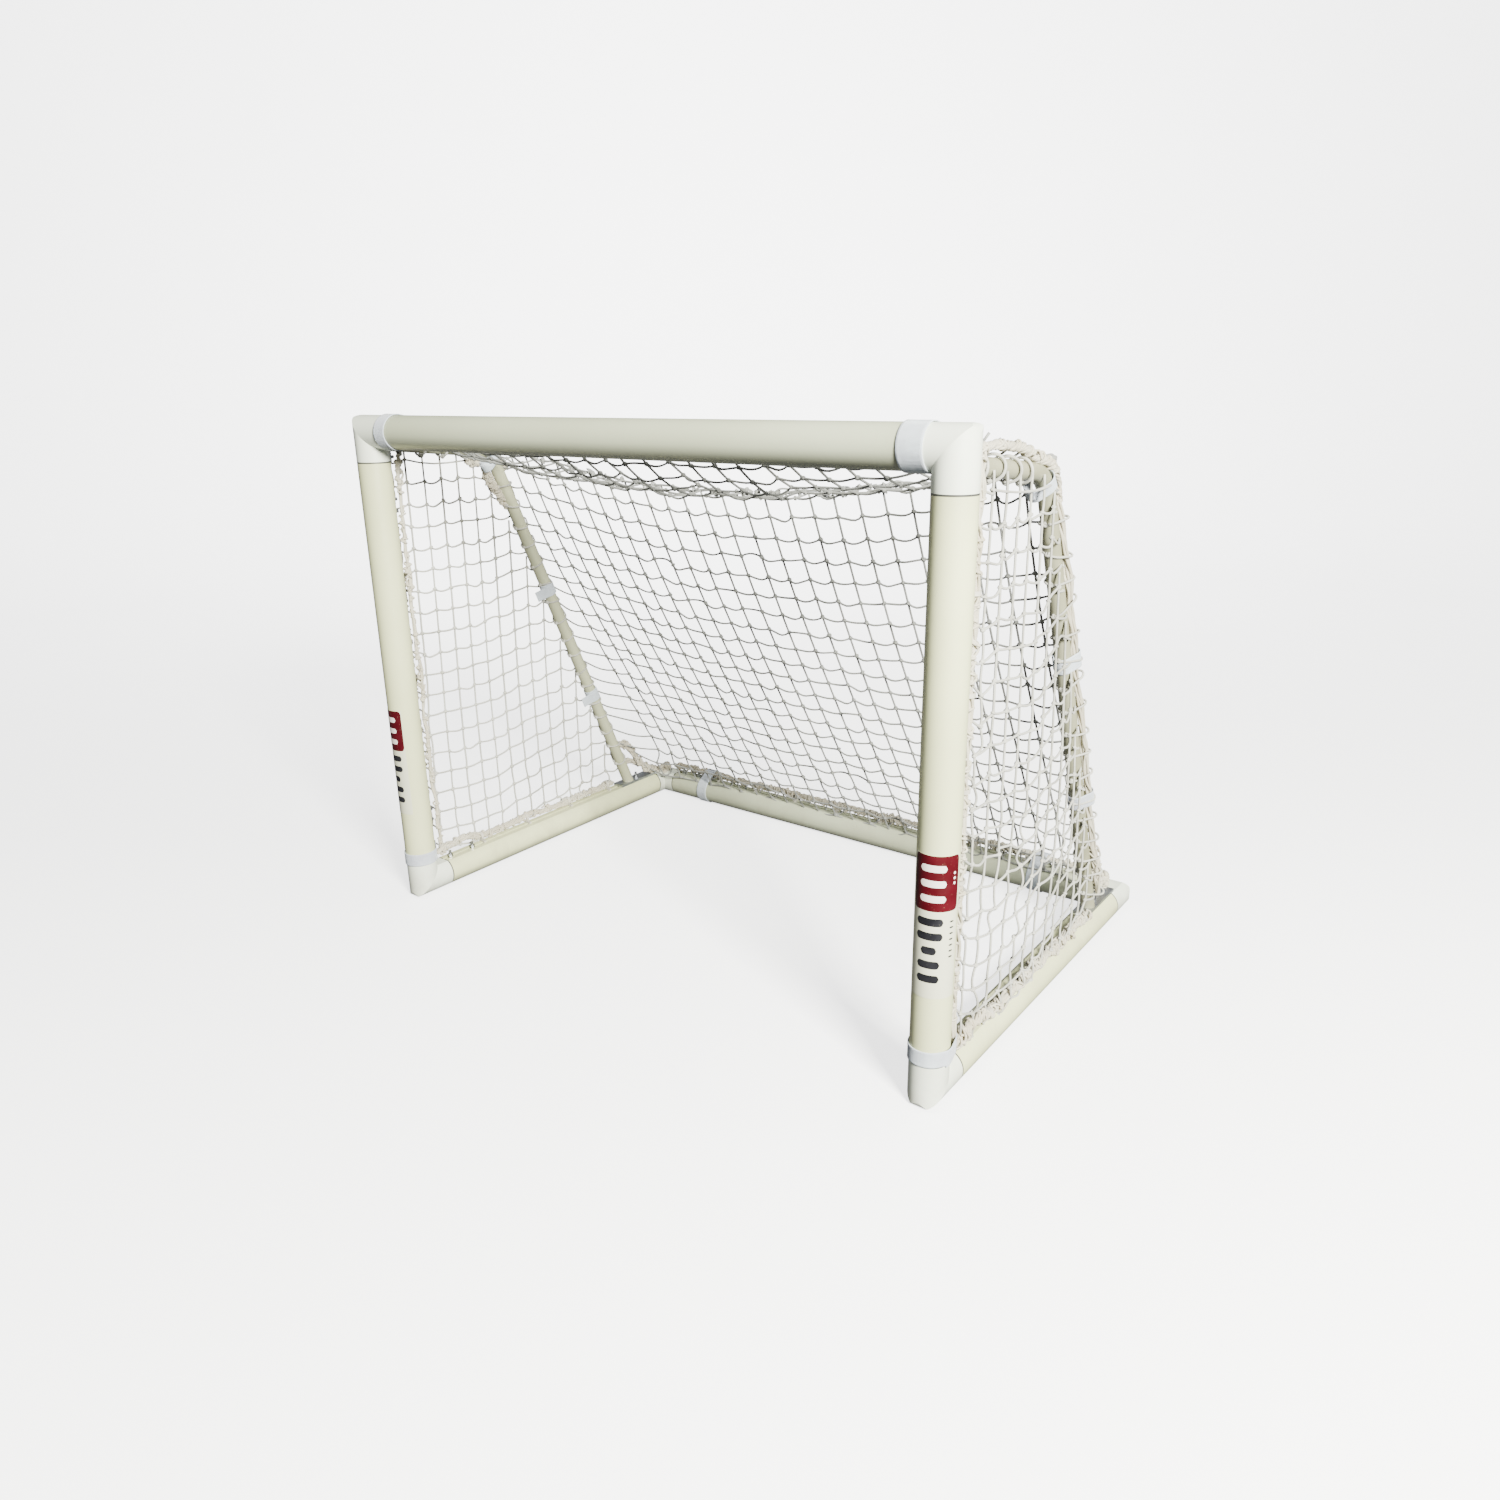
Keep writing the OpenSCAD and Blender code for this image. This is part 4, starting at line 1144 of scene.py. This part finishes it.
def make_stay_straps(name, side):
    node = f"{name}_stay_straps"
    for word, z in zip(("upper", "lower"), STAY_BAND_Z):
        origin, out, back, _ = stay_place(side, z)
        hem = stay_hem_at(side, z) - origin
        circles = [((0, 0), STAY_R), ((hem @ out, hem @ back), 0.0100)]
        piece = band(f"{name}_stay_{word}_band", loop_round(circles, 0.0004, 80), origin, out, back,
                     STAY_BAND_W * (0.82 if side < 0 else 1), turn=20, skew=0.010,
                     flap=0.036 if side < 0 else 0.006)
        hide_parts(node)
    mid = 0.25 * RUN_ANGLE + 0.75 * LEG_ANGLE
    along = np.array([0, math.cos(mid), math.sin(mid)])
    high = np.cross(X, along)
    place = np.array([side * POST_X, STAY_BEND[0] - 0.004, STAY_BEND[1] - 0.018])
    circles = [((0, 0), STAY_R + 0.004), ((-0.008, -0.022), STAY_R - 0.004)]
    piece = band(f"{name}_bend_band", loop_round(circles, 0.0004, 80), place, X * side, high,
                 STAY_BAND_W * 0.66, turn=10, skew=0.010)
    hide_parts(node)


# ---- Printed art on the decals ----


def rounded_cells(width, height, corner, columns):
    """Columns of a rounded rectangle: for each position across, its lowest and highest point."""
    a = np.linspace(-width / 2, width / 2, columns)
    inset = np.clip(np.abs(a) - (width / 2 - corner), 0, corner)
    drop = corner - np.sqrt(np.maximum(corner**2 - inset**2, 0))
    return a, -height / 2 + drop, height / 2 - drop


def add_patch(build, side, at, middle_z, width, height, corner, radius, thick=0.00015):
    """A rounded rectangle bent round the post. `at` is its middle, in metres round from the front."""
    a, low, high = rounded_cells(width, height, corner, max(5, int(width / 0.0022)))
    rings = []
    for x, z0, z1 in zip(a, low, high):
        angle = (at + x) / radius
        flat = np.array([side * math.sin(angle), -math.cos(angle), 0])
        centre = np.array([side * POST_X, FRONT_Y, middle_z])
        rings.append([
            centre + flat * radius + Z * z0, centre + flat * (radius + thick) + Z * z0,
            centre + flat * (radius + thick) + Z * z1, centre + flat * radius + Z * z1,
        ])
    n = len(rings)
    faces = list(ring_faces(n, 4)) + [np.arange(4)[::-1], np.arange(4) + (n - 1) * 4]
    corners = sum(len(f) for f in faces)
    build.add(np.array(rings).reshape(-1, 3), faces, [np.zeros((corners, 2))])


def make_decals():
    maroon = printed("print_maroon", MAROON, rgb(0.075, 0.003, 0.008))
    black = printed("print_black", PRINT_BLACK, rgb(0.03, 0.03, 0.034))
    pale = printed("print_pale", rgb(0.74, 0.66, 0.60), rgb(0.66, 0.58, 0.52))
    for name, side in SIDES.items():
        low, high = (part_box(f"{name}_post_decal")[k].z for k in (0, 1))
        block_h = 0.110
        block_z = high - block_h / 2
        r = TUBE_R + 0.00047
        turn = math.radians(25) * r
        block = Build()
        add_patch(block, side, turn, block_z, 0.094, block_h, 0.009, r)
        finish_piece(block.piece(f"{name}_decal_block", maroon, smooth=False), "decal")
        light = Build()
        for k in range(3):
            add_patch(light, side, turn - 0.006, block_z + 0.030 - 0.030 * k, 0.050, 0.0135, 0.006,
                      r + 0.00017)
        for k in range(3):
            add_patch(light, side, turn + 0.036, block_z + 0.020 - 0.010 * k, 0.0055, 0.0055, 0.0026,
                      r + 0.00017)
        finish_piece(light.piece(f"{name}_decal_light_bars", pale, smooth=False), "decal")
        dark = Build()
        bars = (0.052, 0.052, 0.030, 0.044, 0.044)
        top = block_z - block_h / 2 - 0.022
        pitch = (top - low - 0.012) / len(bars)
        for k, wide in enumerate(bars):
            add_patch(dark, side, turn - 0.010, top - pitch * k, wide, 0.0160, 0.007, r)
        for k in range(7):
            add_patch(dark, side, turn + 0.034, top - 0.012 * k, 0.010, 0.0035, 0.0015, r)
        finish_piece(dark.piece(f"{name}_decal_dark_bars", black, smooth=False), "decal")


# ---- Camera, light and floor ----

CAMERA_PLACE = Vector((1.62482, -2.15663, 1.34839))
CAMERA_TURN = (-0.652709, 0.326669, 0.0138224)
CAMERA_FOCAL = 36 * 1092.97 / 1500


def make_camera():
    turn, tilt, roll = CAMERA_TURN
    forward = Vector((math.sin(turn) * math.cos(tilt), math.cos(turn) * math.cos(tilt), -math.sin(tilt)))
    right = forward.cross(Vector((0, 0, 1))).normalized()
    down = forward.cross(right)
    x = math.cos(roll) * right + math.sin(roll) * down
    y = math.sin(roll) * right - math.cos(roll) * down
    camera = bpy.data.objects.new("camera", bpy.data.cameras.new("camera"))
    camera.data.sensor_width = 36
    camera.data.lens = CAMERA_FOCAL
    camera.data.clip_end = 60
    camera.matrix_world = Matrix.Translation(CAMERA_PLACE) @ Matrix((x, y, -forward)).transposed().to_4x4()
    bpy.context.scene.collection.objects.link(camera)
    bpy.context.scene.camera = camera


def area_light(name, place, target, size, power, colour=(1, 1, 1)):
    light = bpy.data.lights.new(name, "AREA")
    light.shape = "RECTANGLE"
    light.size, light.size_y = size
    light.energy = power
    light.color = colour
    made = bpy.data.objects.new(name, light)
    made.location = place
    made.rotation_euler = (Vector(target) - Vector(place)).to_track_quat("-Z", "Y").to_euler()
    bpy.context.scene.collection.objects.link(made)


def make_light():
    area_light("key", (4.4, -2.6, 3.1), (0.1, 0, 0.5), (1.3, 1.3), 1900, (1.0, 0.995, 0.93))
    area_light("top", (0.6, 0.8, 5.0), (0.2, 0.2, 0), (3.0, 3.0), 60, (0.97, 0.985, 1.0))
    area_light("backdrop", (-2.8, 3.6, 6.5), (-7.2, 9.4, 2.0), (5.0, 2.5), 2600, (1, 1, 1))
    world = bpy.data.worlds.new("studio")
    world.use_nodes = True
    back = world.node_tree.nodes["Background"]
    back.inputs["Color"].default_value = (0.95, 0.97, 1.0, 1)
    back.inputs["Strength"].default_value = 0.26
    bpy.context.scene.world = world


def make_floor():
    """A round pale floor that curves up into a wall far from the goal on all sides."""
    reach, rise, bend, turns = 12.0, 9.0, 6.0, 96
    line = [(0.02, 0.0)]
    for k in range(25):
        a = math.pi / 2 * k / 24
        line.append((reach - bend + bend * math.sin(a), bend - bend * math.cos(a)))
    line.append((reach, rise))
    angles = [2 * math.pi * k / turns for k in range(turns)]
    points = [(r * math.cos(a), r * math.sin(a), z) for r, z in line for a in angles]
    faces = [f[::-1] for f in ring_faces(len(line), turns).tolist()] + [list(range(turns))]
    mesh = bpy.data.meshes.new("floor")
    mesh.from_pydata(points, [], faces)
    mesh.polygons.foreach_set("use_smooth", [True] * len(faces))
    mesh.materials.append(floor_paint("floor_paint"))
    floor = bpy.data.objects.new("floor", mesh)
    floor.visible_diffuse = floor.visible_glossy = False
    bpy.context.scene.collection.objects.link(floor)


make_camera()
make_floor()
make_light()
dress_cad_nodes()
make_nets()
make_hems()
make_bulge("left", -1)
make_post_edge()
make_seam()
make_straps()
make_decals()
